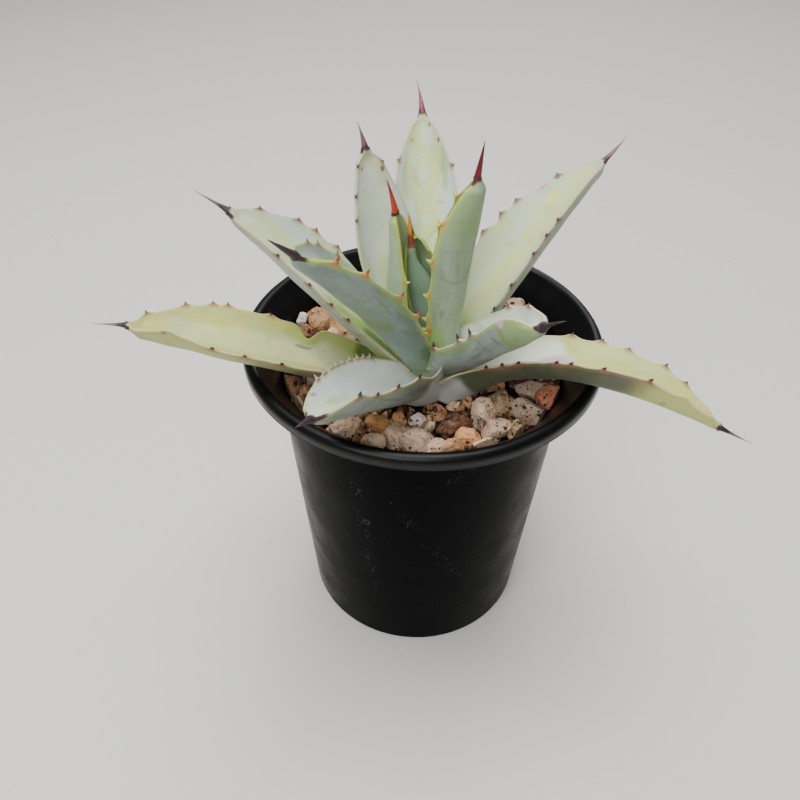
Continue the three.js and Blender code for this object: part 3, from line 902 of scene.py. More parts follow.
# ---- pot ----
@dataclass
class Pot:
    """The round nursery pot: a tapered wall, a flared rim with a turned-down lip, and drain holes."""

    height: float = 120
    base_radius: float = 42
    shoulder_radius: float = 49.4
    shoulder_height: float = 107
    lip_radius: float = 60
    lip_drop: float = 4.4
    wall: float = 1.2
    floor: float = 1.6
    edge_round: float = 1.4
    flare_start: float = 5
    flare_end: float = 4
    flare_slope: float = 52  # where the flare meets the bead, in degrees
    bead: float = 1.6  # radius of the bead's middle line
    holes: int = 8
    hole_ring: float = 29
    hole_radius: float = 4
    steps: int = 160
    curve_steps: int = 14
    finish: PlasticFinish = PlasticFinish()
    rim_finish: PlasticFinish = PlasticFinish("rim_plastic", shine=0.2, roughness=(0.3, 0.42))
    hole_sides: int = 32

    LIP_TURNS = (-30, -60, -90, -120, -150)  # round the lip's edge, in degrees
    CORNER_TURNS = (0, 22, 45, 68, 90)  # round the edge of the base
    NICK = Vector((16.7, -55.4, 119))  # a small nick of use in the rim
    NICK_REACH, NICK_DEPTH = 2.2, 0.7

    def bezier(self, corners: list[Vector]) -> list[Vector]:
        """Returns points along a Bezier curve of any degree, both ends included."""
        points = []
        for step in range(self.curve_steps + 1):
            share = step / self.curve_steps
            row = corners
            while len(row) > 1:
                row = [near.lerp(far, share) for near, far in zip(row, row[1:])]
            points.append(row[0])
        return points

    def middle_line(self) -> list[Vector]:
        """Returns the middle line of the rim, from the shoulder to the edge of the lip."""
        half, slope = self.wall / 2, math.radians(self.flare_slope)
        centre = Vector((self.lip_radius - half - self.bead, self.height - half - self.bead))
        bead = []
        for step in range(self.curve_steps + 1):
            turn = lerp(slope + math.pi / 2, 0, step / self.curve_steps)
            bead.append(centre + self.bead * Vector((math.cos(turn), math.sin(turn))))
        flare = self.bezier([
            Vector((self.shoulder_radius - half, self.shoulder_height)),
            Vector((self.shoulder_radius, self.shoulder_height + self.flare_start)),
            bead[0] - self.flare_end * Vector((math.cos(slope), math.sin(slope))),
            bead[0],
        ])
        edge = Vector((self.lip_radius - half, self.height - self.lip_drop))
        return flare + bead[1:] + [edge]

    def shifted(self, line: list[Vector], distance: float) -> Profile:
        """Returns a line moved sideways, to its left where the distance is positive."""
        moved = []
        for at, point in enumerate(line):
            along = (line[min(at + 1, len(line) - 1)] - line[max(at - 1, 0)]).normalized()
            moved.append((point.x - along.y * distance, point.y + along.x * distance))
        return moved

    def profile(self) -> Profile:
        """Returns the section of wall and floor, from the middle of the underside round to the top."""
        middle = self.middle_line()
        half = self.wall / 2
        tip = middle[-1]
        rounding = [
            (tip.x + half * math.cos(turn), tip.y + half * math.sin(turn))
            for turn in map(math.radians, self.LIP_TURNS)
        ]
        corner = [
            (
                self.base_radius - self.edge_round * (1 - math.sin(turn)),
                self.edge_round * (1 - math.cos(turn)),
            )
            for turn in map(math.radians, self.CORNER_TURNS)
        ]
        inner = list(reversed(self.shifted(middle, half)))
        return [
            (0, 0), (self.base_radius / 2, 0), *corner, *self.shifted(middle, -half), *rounding, *inner,
            (self.base_radius - self.wall, self.floor), (self.base_radius / 2, self.floor), (0, self.floor),
        ]

    def dent(self, bm: Shape) -> None:
        """Presses the small nick of use into the front of the rim."""
        for vert in bm.verts:
            away = (vert.co - self.NICK).length / self.NICK_REACH
            if away < 1:
                vert.co -= UP * self.NICK_DEPTH * (1 - away) ** 2

    def build(self) -> Piece:
        """Returns the finished pot, with its drain holes cut."""
        bm = spin_profile(self.profile(), self.steps)
        self.dent(bm)
        lip_foot = self.height - self.lip_drop - self.wall
        for face in bm.faces:
            middle = face.calc_center_median()
            under = middle.z < lip_foot and face.normal.xy.dot(middle.xy) > 0
            face.material_index = int(middle.z > self.shoulder_height and not under)
        pot = make_piece(bm, "nursery_pot", [self.finish.build(), self.rim_finish.build()])
        cutter_bm = bmesh.new()
        for hole in range(self.holes):
            turn = hole / self.holes * 2 * math.pi
            place = Matrix.Translation((self.hole_ring * math.cos(turn), self.hole_ring * math.sin(turn), 0))
            bmesh.ops.create_cone(
                cutter_bm, cap_ends=True, segments=self.hole_sides, radius1=self.hole_radius,
                radius2=self.hole_radius, depth=4 * self.floor, matrix=place,
            )
        cutter = make_piece(cutter_bm, "drain_cutter", [])
        cut = pot.modifiers.new("drain", "BOOLEAN")
        cut.operation, cut.solver, cut.object = "DIFFERENCE", "EXACT", cutter
        drilled = bpy.data.meshes.new_from_object(pot.evaluated_get(bpy.context.evaluated_depsgraph_get()))
        pot.modifiers.clear()
        pot.data = drilled
        bpy.data.objects.remove(cutter)
        return hand_over(pot, Slot.POT, "pot")

    def fill_radius(self, height: float) -> float:
        """Returns the radius that a filling may have at a height, clear of the wall."""
        slope = (self.shoulder_radius - self.base_radius) / self.shoulder_height
        return self.base_radius + slope * height - self.wall - 2 * GAP


# ---- gravel ----
class StoneKind(Enum):
    """Kinds of stone in the gravel, each with its colour and the share of its cells that are pores."""

    WHITE = ("#ddd2cb", 0.2)
    BEIGE = ("#cfb49c", 0.25)
    PALE = ("#e2c8ae", 0.25)
    TAN = ("#c59d76", 0.3)
    ORANGE = ("#d8a572", 0.2)
    OLIVE = ("#ad977a", 0.4)
    BROWN = ("#a07a5a", 0.55)
    RUST = ("#b0745a", 0.5)
    GREY = ("#b09c8a", 0.25)
    LAVA = ("#684538", 0.55)

    @property
    def tint(self) -> Colour:
        """The stone's colour."""
        return paint(self.value[0])

    @property
    def holes(self) -> float:
        """The share of its cells that are pores."""
        return self.value[1]


@dataclass(frozen=True)
class Stone:
    """One stone: where it lies, its length and breadth, the turn of its long side, and its kind."""

    x: float
    y: float
    length: float
    breadth: float
    turn: float
    kind: StoneKind = StoneKind.BEIGE


WHITE, BEIGE, PALE, TAN, ORANGE, OLIVE, BROWN, RUST, GREY, LAVA = StoneKind

PLACED_STONES = (
    Stone(-0.5, -32, 5, 4, 0, WHITE), Stone(-0.5, -42.8, 10.5, 8.5, 30, BEIGE),
    Stone(5, -44.6, 7, 5.5, 0, BEIGE), Stone(10, -44.8, 6.5, 5, 20, TAN),
    Stone(15, -39.5, 7, 6.5, 0, ORANGE), Stone(20.5, -42.9, 8.5, 5, 10, PALE),
    Stone(24.5, -35, 12, 6.5, 25, BEIGE), Stone(30, -35, 8, 5, 80, OLIVE),
    Stone(34.5, -26, 11, 7.5, -25, GREY), Stone(42, -18.5, 9, 8.5, 60, RUST),
    Stone(36, -15, 10, 6, 0, GREY), Stone(26, -22, 9.5, 8.5, 80, OLIVE), Stone(20, -26, 8.5, 7.5, 80, PALE),
    Stone(11.5, -33, 11.5, 9, 30, LAVA), Stone(17.5, -33, 5, 4.5, 0, GREY),
    Stone(-42, -19.5, 9, 6.5, 110, BROWN), Stone(-38.5, -28, 6.5, 5.5, 60, OLIVE),
    Stone(-35.5, -16, 5.5, 5, 0, GREY), Stone(-37, -22, 5, 5, 0, BROWN), Stone(-22, -37, 10, 6, 0, BEIGE),
    Stone(-17.3, -41, 6, 5, 0, BROWN), Stone(-12, -34, 9, 7.5, 0, ORANGE),
    Stone(-6.5, -31.5, 5, 4.5, 0, ORANGE), Stone(-13.5, -43.6, 6.5, 6, 0, PALE),
    Stone(-7.5, -39.5, 9.5, 8.5, 45, PALE), Stone(-43.5, 17, 5, 4.5, 90, WHITE),
    Stone(-38, 18, 10, 8.5, 80, TAN), Stone(-40.5, 10.5, 5.5, 5, 0, BROWN),
    Stone(-32.5, 10.5, 5.5, 5, 0, PALE), Stone(-29.5, 15, 9, 7.5, 0, TAN), Stone(34, 31, 8, 6, 0, BEIGE),
)


@dataclass
class Gravel:
    """The layer of loose stones on the growing mix, with grit between them and a dark bed that is partly
    painted shade in the gaps.
    """

    pot: Pot
    bottom: float = 101.3
    bed: float = 104.6
    middle: float = 107.8
    height: float = 4
    tilt: float = 0.3
    lift: float = 0.8
    heaped: float = 1.8  # how much higher the stones lie against the wall
    pitch: float = 9.4
    stray: float = 2.4
    shortest: float = 8.5
    longest: float = 12
    breadth: float = 0.8
    edge: float = 48
    seed: int = 4177
    look_seed: int = 90210
    grit: int = 420
    finish: StoneFinish = field(default_factory=StoneFinish)
    placed_finer: int = 5
    fill_finer: int = 4
    grit_finer: int = 2
    facet_count: int = 12
    worn: float = 0.93  # how far a facet is ground down
    regrown: float = 1.18  # makes up for what the facets take off
    bed_edge: int = 46
    bed_step: int = 2
    bed_sides: int = 120
    sink_step: float = 0.8
    sinks: int = 12
    clear: float = 0.5  # least distance between a stone and a leaf
    grit_lean: float = 0.4

    FACET_REACH = (0.6, 0.86)  # as shares of the stone's radius
    SHADES = (0.82, 1.12)
    ROUGHNESS = ((1.6, 0.09), (4.2, 0.05), (9.5, 0.022))  # how often and how high
    SHIFT = 40  # how far apart in the noise two stones are read
    HEAP = (34, 46)  # from where to where the stones rise towards the wall
    GRIT_LENGTH, GRIT_RISE, GRIT_EDGE = (1.6, 4.2), (0.2, 1.6), 0.97
    BED_BUMPS = ((5, 0.7), (2, 0.4))  # how wide and how high
    PROBE_STEP = 5  # every which vertex is tried against the leaves

    def fill_places(self, roll: Dice) -> list[Stone]:
        """Returns the small stones that fill the surface between the larger ones."""
        stones = []
        rows = math.ceil(2 * self.edge / self.pitch)
        kinds = (BEIGE, TAN, OLIVE, BROWN, PALE, GREY, BEIGE, ORANGE, LAVA, TAN)
        for row in range(-rows, rows + 1):
            for column in range(-rows, rows + 1):
                x = self.pitch * (column + (row & 1) / 2) + self.stray * (roll() - 0.5)
                y = self.pitch * math.sin(math.pi / 3) * row + self.stray * (roll() - 0.5)
                length = roll.between(self.shortest, self.longest)
                turn = 180 * roll()
                free = all(
                    math.hypot(x - other.x, y - other.y) > (other.length + other.breadth + length) / 4
                    for other in PLACED_STONES
                )
                if free and math.hypot(x, y) + length / 2 < self.edge:
                    kind = kinds[(3 * row + 7 * column) % len(kinds)]
                    stones.append(Stone(x, y, length, self.breadth * length, turn, kind))
        return stones

    def facets(self, look: Dice) -> list[tuple[Vector, float]]:
        """Returns the flat sides of one stone: their directions and how far out they lie."""
        return [(look.direction(), look.between(*self.FACET_REACH)) for _ in range(self.facet_count)]

    def pebble(
        self, bm: Shape, stone: Stone, height: float, finer: int, lean: float, look: Dice,
    ) -> list[Vert]:
        """Adds one worn, angular, porous stone.

        Args:
            bm: The shape it is added to.
            stone: The stone.
            height: The height of its middle.
            finer: How often its surface is subdivided.
            lean: How far it tips, in radians.
            look: Draws for its form.

        Returns:
            Its vertices.
        """
        tint, holes = bm.verts.layers.float_color["tint"], bm.verts.layers.float["holes"]
        verts = bmesh.ops.create_icosphere(bm, subdivisions=finer, radius=1)["verts"]
        facets, shift = self.facets(look), look.direction() * self.SHIFT
        shade = look.between(*self.SHADES)
        colour = Vector(stone.kind.tint[:3]) * shade
        deep = self.height + stone.breadth / 2
        half = Vector((stone.length, stone.breadth, deep)) / 2
        place = (
            Matrix.Translation((stone.x, stone.y, height))
            @ Matrix.Rotation(math.radians(stone.turn), 4, "Z")
            @ Matrix.Rotation(lean, 4, "X")
            @ Matrix.Diagonal((*half, 1.0))
        )
        for vert in verts:
            point = vert.co.copy()
            for direction, distance in facets:
                over = point.dot(direction) - distance
                if over > 0:
                    point -= direction * over * self.worn
            point *= self.regrown
            rough = (noise.noise(point * often + shift) * high for often, high in self.ROUGHNESS)
            point += vert.co * sum(rough)
            vert[tint] = (*colour, 1.0)
            vert[holes] = stone.kind.holes
            vert.co = self.kept_inside(place @ point)
        return verts

    def kept_inside(self, point: Vector) -> Vector:
        """Returns a point of a stone, pressed back where it would pierce the pot's wall."""
        free, out = self.pot.fill_radius(point.z), math.hypot(point.x, point.y)
        share = min(free / max(out, free), 1.0)
        return Vector((point.x * share, point.y * share, point.z))

    def shape(self) -> Shape:
        """Returns an empty shape that can carry each stone's tint and pores."""
        bm = bmesh.new()
        bm.verts.layers.float_color.new("tint")
        bm.verts.layers.float.new("holes")
        return bm

    def settle(self, verts: list[Vert], leaves: list[BVHTree]) -> None:
        """Sinks a stone until it lies clear under the leaves.

        Args:
            verts: The stone's vertices.
            leaves: The leaves to keep clear of.
        """
        clear = self.clear * METRES
        probes = verts[::self.PROBE_STEP]
        for _ in range(self.sinks):
            if not any(leaf.find_nearest(vert.co * METRES, clear)[0] for vert in probes for leaf in leaves):
                return
            for vert in verts:
                vert.co.z -= self.sink_step

    def build_stones(self, material: Material, leaves: list[BVHTree]) -> None:
        """Builds the listed stones and those that fill the rest."""
        roll, look = Dice(self.seed), Dice(self.look_seed)
        fill = self.fill_places(roll)
        groups = (
            ("gravel_stones", list(PLACED_STONES), self.placed_finer, ("gravel",)),
            ("gravel_fill", fill, self.fill_finer, ()),
        )
        for name, stones, finer, nodes in groups:
            bm = self.shape()
            for stone in stones:
                lean = self.tilt * (roll() - 0.5)
                height = self.middle + self.lift * (roll() - 0.5)
                height += self.heaped * smoothstep(math.hypot(stone.x, stone.y), *self.HEAP)
                verts = self.pebble(bm, stone, height, finer, lean, look)
                self.settle(verts, leaves)
            bmesh.ops.recalc_face_normals(bm, faces=bm.faces)
            hand_over(make_piece(bm, name, [material]), Slot.GRAVEL, *nodes)

    def build_grit(self, material: Material) -> None:
        """Builds the small grains that lie deep between the stones."""
        look = Dice(self.look_seed + 1)
        kinds = (BROWN, TAN, BEIGE, LAVA, PALE, RUST, OLIVE, BROWN)
        bm = self.shape()
        for grain in range(self.grit):
            radius = self.edge * math.sqrt(look()) * self.GRIT_EDGE
            turn = look.between(0, 2 * math.pi)
            length = look.between(*self.GRIT_LENGTH)
            stone = Stone(
                radius * math.cos(turn), radius * math.sin(turn), length, self.breadth * length,
                look.between(0, 180), kinds[grain % len(kinds)],
            )
            height = self.bed + look.between(*self.GRIT_RISE)
            self.pebble(bm, stone, height, self.grit_finer, self.grit_lean, look)
        bmesh.ops.recalc_face_normals(bm, faces=bm.faces)
        hand_over(make_piece(bm, "gravel_grit", [material]), Slot.GRAVEL)

    def build_bed(self) -> None:
        """Builds the dark bed of dust and crumbs under the stones, dark also as painted shade in the gaps
        between them.
        """
        inner = [(radius, self.bed) for radius in range(self.bed_edge, -1, -self.bed_step)]
        profile = [
            (0, self.bottom), (self.pot.fill_radius(self.bottom), self.bottom),
            (self.pot.fill_radius(self.bed), self.bed), *inner,
        ]
        bm = spin_profile(profile, self.bed_sides)
        for vert in bm.verts:
            if vert.co.z > self.bed - GAP:
                vert.co.z += sum(noise.noise(vert.co / wide) * high for wide, high in self.BED_BUMPS)
        # dark dust that is also painted shade between the stones
        finish = SoilFinish("gravel_dust")
        hand_over(make_piece(bm, "gravel_bed", [finish.build()]), Slot.GRAVEL)

    def build(self, leaves: list[BVHTree]) -> None:
        """Builds the whole layer, clear of the leaves."""
        material = self.finish.build()
        self.build_bed()
        self.build_grit(material)
        self.build_stones(material, leaves)


@dataclass
class GrowingMix:
    """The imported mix, whose node keeps its shape and gets a gritty finish."""

    node: str = "growing_mix"

    def build(self) -> None:
        """Dresses the node."""
        material = SoilFinish("growing_mix_grit").build()
        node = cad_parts[self.node]
        for slot in node.material_slots:
            slot.material = material
        LOG.info("%s: dressed", self.node)


# ---- plant ----
@dataclass(frozen=True)
class Teeth:
    """The teeth of one margin: where they stand, as shares of the leaf's length, and their form."""

    places: tuple[float, ...] = ()
    height: float = 1.6
    swell: float = 0.9  # height of the swelling that carries a tooth
    horn: Horn = Horn.TOOTH_RUST


@dataclass(frozen=True)
class Wave:
    """An uneven stretch of a margin.

    Attributes:
        margin: Which one: 1 is left, -1 is right.
        share: Where its middle is, as a share of the leaf's length.
        reach: How far it goes on each side.
        out: How far it stands out.
        lift: How far it is raised.
    """

    margin: int
    share: float
    reach: float
    out: float = 0.0
    lift: float = 0.0


@dataclass(frozen=True)
class LeafForm:
    """The driving sizes of one leaf.

    Attributes:
        azimuth: The side it grows to: 0 along +X, growing anticlockwise.
        rise: Its slope at the root, the middle and the tip.
        turn: How far it swings sideways over its length.
        fold: How far its channel closes at the root and the tip.
        roll: How far the blade turns about its own line at the root and the tip.
        seat: The root's distance from the stem's axis and its height.
        body: Extra thickness of the middle at the root.
        neck: Width at the root, as a share of the full width.
        widest: Where it is widest, as a share of its length.
        spine: Length of the terminal spine.
        shape: How the spine narrows.
        spine_half: Half the width and half the height of the spine's root.
        kink: How far the spine's point bends to the left and up.
        lift: How far the spine's line lies above the middle of the blade's end.
        taper: How late the blade's pointed end narrows.
        closes: From where on the blade closes to the round root of its spine.
        heel: Extra thickness of the clasping root.
    """

    name: str
    azimuth: float
    rise: Triple
    turn: float
    length: float
    width: float
    fold: tuple[float, float]
    roll: tuple[float, float]
    seat: tuple[float, float]
    body: float
    neck: float
    widest: float
    spine: float
    left: Teeth
    right: Teeth
    slot: Slot
    horn: Horn
    finish: LeafFinish
    shape: SpineShape = SpineShape.TAPERED
    spine_half: tuple[float, float] = (1.5, 1.15)
    kink: tuple[float, float] = (0.0, 0.0)
    lift: float = 1.05
    taper: float = 2.2
    closes: float = 0.94
    heel: float = 0.0
    waves: tuple[Wave, ...] = ()
    marks: tuple[Mark, ...] = ()


def skin_like(skin: LeafFinish, **changes: str | float) -> LeafFinish:
    """Returns a leaf's finish with some of its values changed.

    Args:
        skin: The finish to start from.
        changes: The new values, where a colour is given by its code.

    Returns:
        The new finish.
    """
    values = {name: paint(value) if isinstance(value, str) else value for name, value in changes.items()}
    return replace(skin, **values)


GROWN_SKIN = LeafFinish()
OLD_SKIN = skin_like(
    GROWN_SKIN, face="#b0b55c", heart="#c4be5e", cool="#b2bb8e", cool_share=0.4,
    # The dark back is partly painted shade on the undersides.
    back="#787c48", back_cool=0.3, root="#8a9648", green="#84913c",
    margin="#cbbd92", hem="#a3904e", hem_share=0.2, seat="#94604a",
    blush="#bd9494", blush_share=0.12, smudge=0.1, powder_share=0.07, root_reach=0.3,
)
YOUNG_SKIN = skin_like(
    GROWN_SKIN, face="#869a78", heart="#92a673", cool="#98a89c", cool_share=0.6,
    back="#839675", root="#76904c", root_reach=0.16, green="#5f7a48",
    margin="#a9b04e", hem="#8ea548", hem_share=0.55, hem_wide=0.6, seat="#b9a03e",
    blush_share=0.0, patchy=0.2, powder="#bccabc",
)

LEAF_FORMS = (
    LeafForm(
        name="spear", azimuth=180, rise=(74, 77, 84), turn=0, length=37.3, width=18, fold=(290, 290),
        roll=(90, 90), seat=(0.6, 121), body=0.9, neck=1, widest=0.2, spine=10.5, closes=0.56,
        left=Teeth(), right=Teeth(), slot=Slot.LEAF_YOUNG, horn=Horn.AMBER,
        finish=skin_like(
            YOUNG_SKIN, face="#6a8468", back="#7c957a", horn="#7a4a2c", decurrent=0.3,
            hem_share=0.0, margin="#8ea06a",
        ),
        shape=SpineShape.STOUT, spine_half=(1.2, 1.05),
    ),
    LeafForm(
        name="heart_back", azimuth=152, rise=(79, 78, 77.5), turn=0, length=38, width=15, fold=(190, 160),
        roll=(-48, -48), seat=(1.5, 121), body=1.5, neck=0.8, widest=0.5, spine=6,
        left=Teeth((0.7,), 1.3, 0.6, Horn.TOOTH_GOLD), right=Teeth((0.55, 0.86), 1.3, 0.6, Horn.TOOTH_GOLD),
        slot=Slot.LEAF_YOUNG, horn=Horn.AMBER,
        # The dark green face and heart are painted shade, as this leaf lies in the bud's shadow.
        finish=skin_like(
            YOUNG_SKIN, face="#5c7448", heart="#5c7448", margin="#8c9a44", horn="#97963e", decurrent=0.3,
        ),
        shape=SpineShape.STOUT, spine_half=(0.7, 0.6),
    ),
    LeafForm(
        name="heart_left", azimuth=184, rise=(42, 87, 79.5), turn=-12, length=50, width=17, fold=(165, 135),
        roll=(-7, -12), seat=(3.5, 120.5), body=3.2, neck=0.6, widest=0.5, spine=10, taper=1.5,
        left=Teeth((0.61,), 1.3, 0.6, Horn.TOOTH_GOLD), right=Teeth((0.55, 0.78), 1.3, 0.6, Horn.TOOTH_GOLD),
        slot=Slot.LEAF_YOUNG, horn=Horn.FLAME,
        # The light face is partly painted light, over the shade between the inner leaves.
        finish=skin_like(YOUNG_SKIN, face="#a3b58e", back="#a0b092", horn="#4a1c1a", decurrent=0.5),
        shape=SpineShape.STOUT, spine_half=(1.4, 1.15), kink=(0, -0.9),
    ),
    LeafForm(
        name="heart_right", azimuth=2, rise=(86, 81, 83.5), turn=-3, length=62, width=27.5, fold=(155, 150),
        roll=(13, -19), seat=(1.5, 117.5), body=4.6, neck=0.85, widest=0.6, spine=10.5, taper=2,
        left=Teeth((0.62, 0.81), 1.5, 0.8, Horn.TOOTH_GOLD),
        right=Teeth((0.25, 0.31, 0.44, 0.62, 0.8), 1.6, 0.8, Horn.TOOTH_GOLD),
        slot=Slot.LEAF_YOUNG, horn=Horn.RED,
        finish=skin_like(YOUNG_SKIN, back="#86997a", horn="#4a151c", decurrent=1.4, seat="#b98a3a"),
        shape=SpineShape.STOUT, spine_half=(1.5, 1.2), lift=1.7, marks=(
            Mark(MarkKind.PRINT, -7.0, 37, 4.6, 4.6, 0.4, False, 0.12, True),
            Mark(MarkKind.SPOT, -9.7, 21.9, 0.5, 1.6, 0.4, False),
            Mark(MarkKind.FRESH, 9.1, 50.1, 2.4, 4.5, 0.7),
            Mark(MarkKind.FRESH, -11.5, 10, 3.5, 8, 0.6, False),
            Mark(MarkKind.FRESH, -6, 53, 5, 9, 0.3, False),
        ),
    ),
    LeafForm(
        name="front_inner", azimuth=221, rise=(56, 50, 44), turn=18, length=77.5, width=27, fold=(135, 125),
        roll=(-2, -10), seat=(5.5, 118), body=4.5, neck=0.55, widest=0.55, spine=12,
        left=Teeth((0.22, 0.39, 0.57, 0.78, 0.9), 1.8, 1.0, Horn.TOOTH_EMBER),
        right=Teeth((0.62, 0.76, 0.84), 0.8, 0.7, Horn.TOOTH_RUST),
        slot=Slot.LEAF_YOUNG, horn=Horn.PURPLE,
        finish=skin_like(
            YOUNG_SKIN, face="#b2c2ba", heart="#a9b894", back="#6e7f76", back_cool=1.0,
            cool="#829289", soiled="#56654e", decurrent=2.2, seat="#b87f3a", smudge=0.5,
            root="#6d8560", root_reach=0.1,
        ),
        shape=SpineShape.STOUT, spine_half=(1.6, 1.2), lift=1.4, waves=(Wave(1, 0.9, 12, 0.0, 0.6),), marks=(
            Mark(MarkKind.RUBBED, 4.6, 36, 3.0, 4.2, 0.8, False, 0.2),
            Mark(MarkKind.RUBBED, 1.0, 42, 3.0, 4.6, 0.4, False, 0.2),
            Mark(MarkKind.PRINT, 6.5, 55, 5.5, 8.5, 0.35, False, 0.05, True),
            Mark(MarkKind.PRINT, 8.5, 51, 3.2, 7.5, 0.3, False, 0.05, True),
            Mark(MarkKind.GASH, 2.5, 63, 0.5, 4.0, 0.3, False),
            Mark(MarkKind.FRESH, 12.3, 26, 1.0, 26, 0.6, False),
            Mark(MarkKind.DEEP, 7, 8, 2.0, 6, 0.5, False),
        ),
    ),
    LeafForm(
        name="back", azimuth=96, rise=(57, 43, 48), turn=2, length=79, width=24, fold=(115, 85),
        roll=(-6, -9), seat=(5, 116.5), body=4, neck=0.6, widest=0.5, spine=11.4, taper=1.75,
        left=Teeth((0.65, 0.78), 0.6, 0.6), right=Teeth((0.59, 0.74), 0.7, 0.6),
        slot=Slot.LEAF_GROWN, horn=Horn.ROSE,
        finish=skin_like(GROWN_SKIN, face="#a9b68c", heart="#bfcb80", horn="#5a2c36"),
        kink=(1.4, 0.2), waves=(Wave(1, 0.78, 12, 1.5), Wave(-1, 0.8, 11, 0.8)), marks=(
            Mark(MarkKind.SPOT, -4.9, 68.7, 0.5, 0.9, 0.9),
            Mark(MarkKind.SPOT, -2.2, 74.5, 0.5, 0.6, 0.8),
            Mark(MarkKind.SPOT, 3.6, 69.5, 0.6, 0.7, 0.5),
            Mark(MarkKind.FRESH, -6.5, 60, 1.2, 9, 0.4),
            Mark(MarkKind.PRINT, -3.0, 29, 5.0, 9, 0.3, True, 0.2),
            Mark(MarkKind.PRINT, -3.5, 26, 2.6, 9, 0.25, True, 0.2),
        ),
    ),
    LeafForm(
        name="back_left", azimuth=133, rise=(35, 69, 74), turn=-1, length=69, width=23.5, fold=(105, 75),
        roll=(-5, -5), seat=(6, 114.5), body=4, neck=0.6, widest=0.5, spine=8, taper=1.9,
        left=Teeth((0.71, 0.81, 0.93), 0.6, 0.4, Horn.TOOTH_DARK), right=Teeth((0.92,), 0.6, 0.4),
        slot=Slot.LEAF_GROWN, horn=Horn.MAUVE,
        finish=skin_like(GROWN_SKIN, face="#c0cab0", back="#a9b59c"), kink=(1.2, 0), marks=(
            Mark(MarkKind.WHITE, 1.5, 50, 8, 16, 0.45),
            Mark(MarkKind.SPOT, -4.3, 61.5, 0.6, 1.0, 0.8),
            Mark(MarkKind.SPOT, 2.7, 62.8, 0.5, 0.6, 0.6),
        ),
    ),
    LeafForm(
        name="right_high", azimuth=32, rise=(62, 46, 34), turn=0, length=78, width=27.5, fold=(120, 100),
        roll=(10, -21), seat=(6.5, 115), body=4, neck=0.6, widest=0.5, spine=11.6, taper=1.9,
        left=Teeth((0.48, 0.58, 0.66, 0.84), 0.6, 1.2),
        right=Teeth((0.28, 0.39, 0.53, 0.61, 0.68), 0.9, 0.5, Horn.TOOTH_DARK),
        slot=Slot.LEAF_GROWN, horn=Horn.MAUVE,
        finish=skin_like(
            GROWN_SKIN, face="#bac5a0", heart="#c2ca86", cool="#bcc8be", cool_share=0.55,
            back="#97a192", margin="#bfb6a0", seat="#7a4a50", horn="#4a2830",
        ),
        spine_half=(1.3, 1.0), kink=(1.2, 0.5), waves=(Wave(1, 0.545, 1.6, -0.9),), marks=(
            Mark(MarkKind.YELLOW, 4.1, 58.7, 2.4, 2.6, 0.9),
            Mark(MarkKind.SPOT, 8.0, 65.3, 0.8, 1.2, 0.9),
            Mark(MarkKind.SPOT, 9.6, 66, 0.7, 6, 0.7),
        ),
    ),
    LeafForm(
        name="left_high", azimuth=175, rise=(40, 47, 36), turn=8, length=76, width=26.5, fold=(110, 95),
        roll=(-9, -4), seat=(8, 113), body=4, neck=0.6, widest=0.55, spine=10.5,
        left=Teeth((0.39, 0.49, 0.61, 0.77), 1.0, 0.5, Horn.TOOTH_DARK),
        right=Teeth((0.55, 0.66, 0.74, 0.89), 0.7, 1.1),
        slot=Slot.LEAF_GROWN, horn=Horn.GREY,
        finish=skin_like(GROWN_SKIN, face="#bac5ab", back="#97a592", margin="#b9ac98", decurrent=2.0),
        shape=SpineShape.NEEDLE, spine_half=(1.6, 1.25), kink=(0, -0.2), waves=(Wave(-1, 0.92, 8, -0.8),),
        marks=(
            Mark(MarkKind.SPOT, -6.9, 67.7, 0.5, 0.7, 0.8),
            Mark(MarkKind.SPOT, 5.4, 66.5, 0.6, 0.9, 0.8),
            Mark(MarkKind.SPOT, 6.9, 62.5, 0.5, 0.5, 0.5),
            Mark(MarkKind.FRESH, 6.5, 17, 6.5, 20, 0.95),
            Mark(MarkKind.DEEP, 8.5, 29, 1.8, 7, 0.75),
            Mark(MarkKind.DEEP, 5, 13, 3.6, 8, 0.85),
            Mark(MarkKind.SPOT, 9.5, 25, 0.9, 3.5, 0.5),
            Mark(MarkKind.SPOT, 7.5, 11, 0.8, 2.0, 0.4),
        ),
    ),
    LeafForm(
        name="front_right", azimuth=-44, rise=(30, 44, 45), turn=-13, length=61, width=26, fold=(205, 160),
        roll=(13, 2), seat=(-1.5, 113), body=3.5, neck=0.75, widest=0.55, spine=10, heel=0.8,
        left=Teeth((0.63, 0.8), 0.8, 0.9), right=Teeth((0.28, 0.55, 0.66), 1.9, 0.9, Horn.TOOTH_DARK),
        slot=Slot.LEAF_GROWN, horn=Horn.PURPLE,
        finish=skin_like(
            GROWN_SKIN, face="#dde5da", heart="#dbe2c4", cool="#c5cfcb", back="#76847a",
            back_cool=0.3, soiled="#505c54", seat="#8a5060", decurrent=0.9, smudge=0.7,
            green="#829a5c", root="#93a080",
        ),
        shape=SpineShape.NEEDLE, spine_half=(1.85, 1.5), kink=(0, -0.7),
        waves=(Wave(-1, 0.6, 11, -1.3), Wave(-1, 0.87, 6, 1.7, 0.6)), marks=(
            Mark(MarkKind.FRESH, -4.2, 55.4, 4.6, 6.6, 0.55, False),
            Mark(MarkKind.PRINT, -4.2, 56.4, 5.2, 6.4, 0.55, False, 0.2, True),
            Mark(MarkKind.BLUSH, -8.5, 52.8, 1.7, 1.9, 1.0, False),
            Mark(MarkKind.BLUSH, -8.5, 52.8, 1.7, 1.9, 0.9),
            Mark(MarkKind.DEEP, -9.5, 12, 1.0, 5, 0.35, False),
            Mark(MarkKind.FRESH, -11, 26, 0.9, 18, 0.5, False),
        ),
    ),
    LeafForm(
        name="front_left", azimuth=240, rise=(27, 28, 21), turn=3, length=72, width=27.5, fold=(150, 95),
        roll=(-11, 15), seat=(2.5, 107.5), body=4.5, neck=0.5, widest=0.5, spine=6.5, heel=3.0,
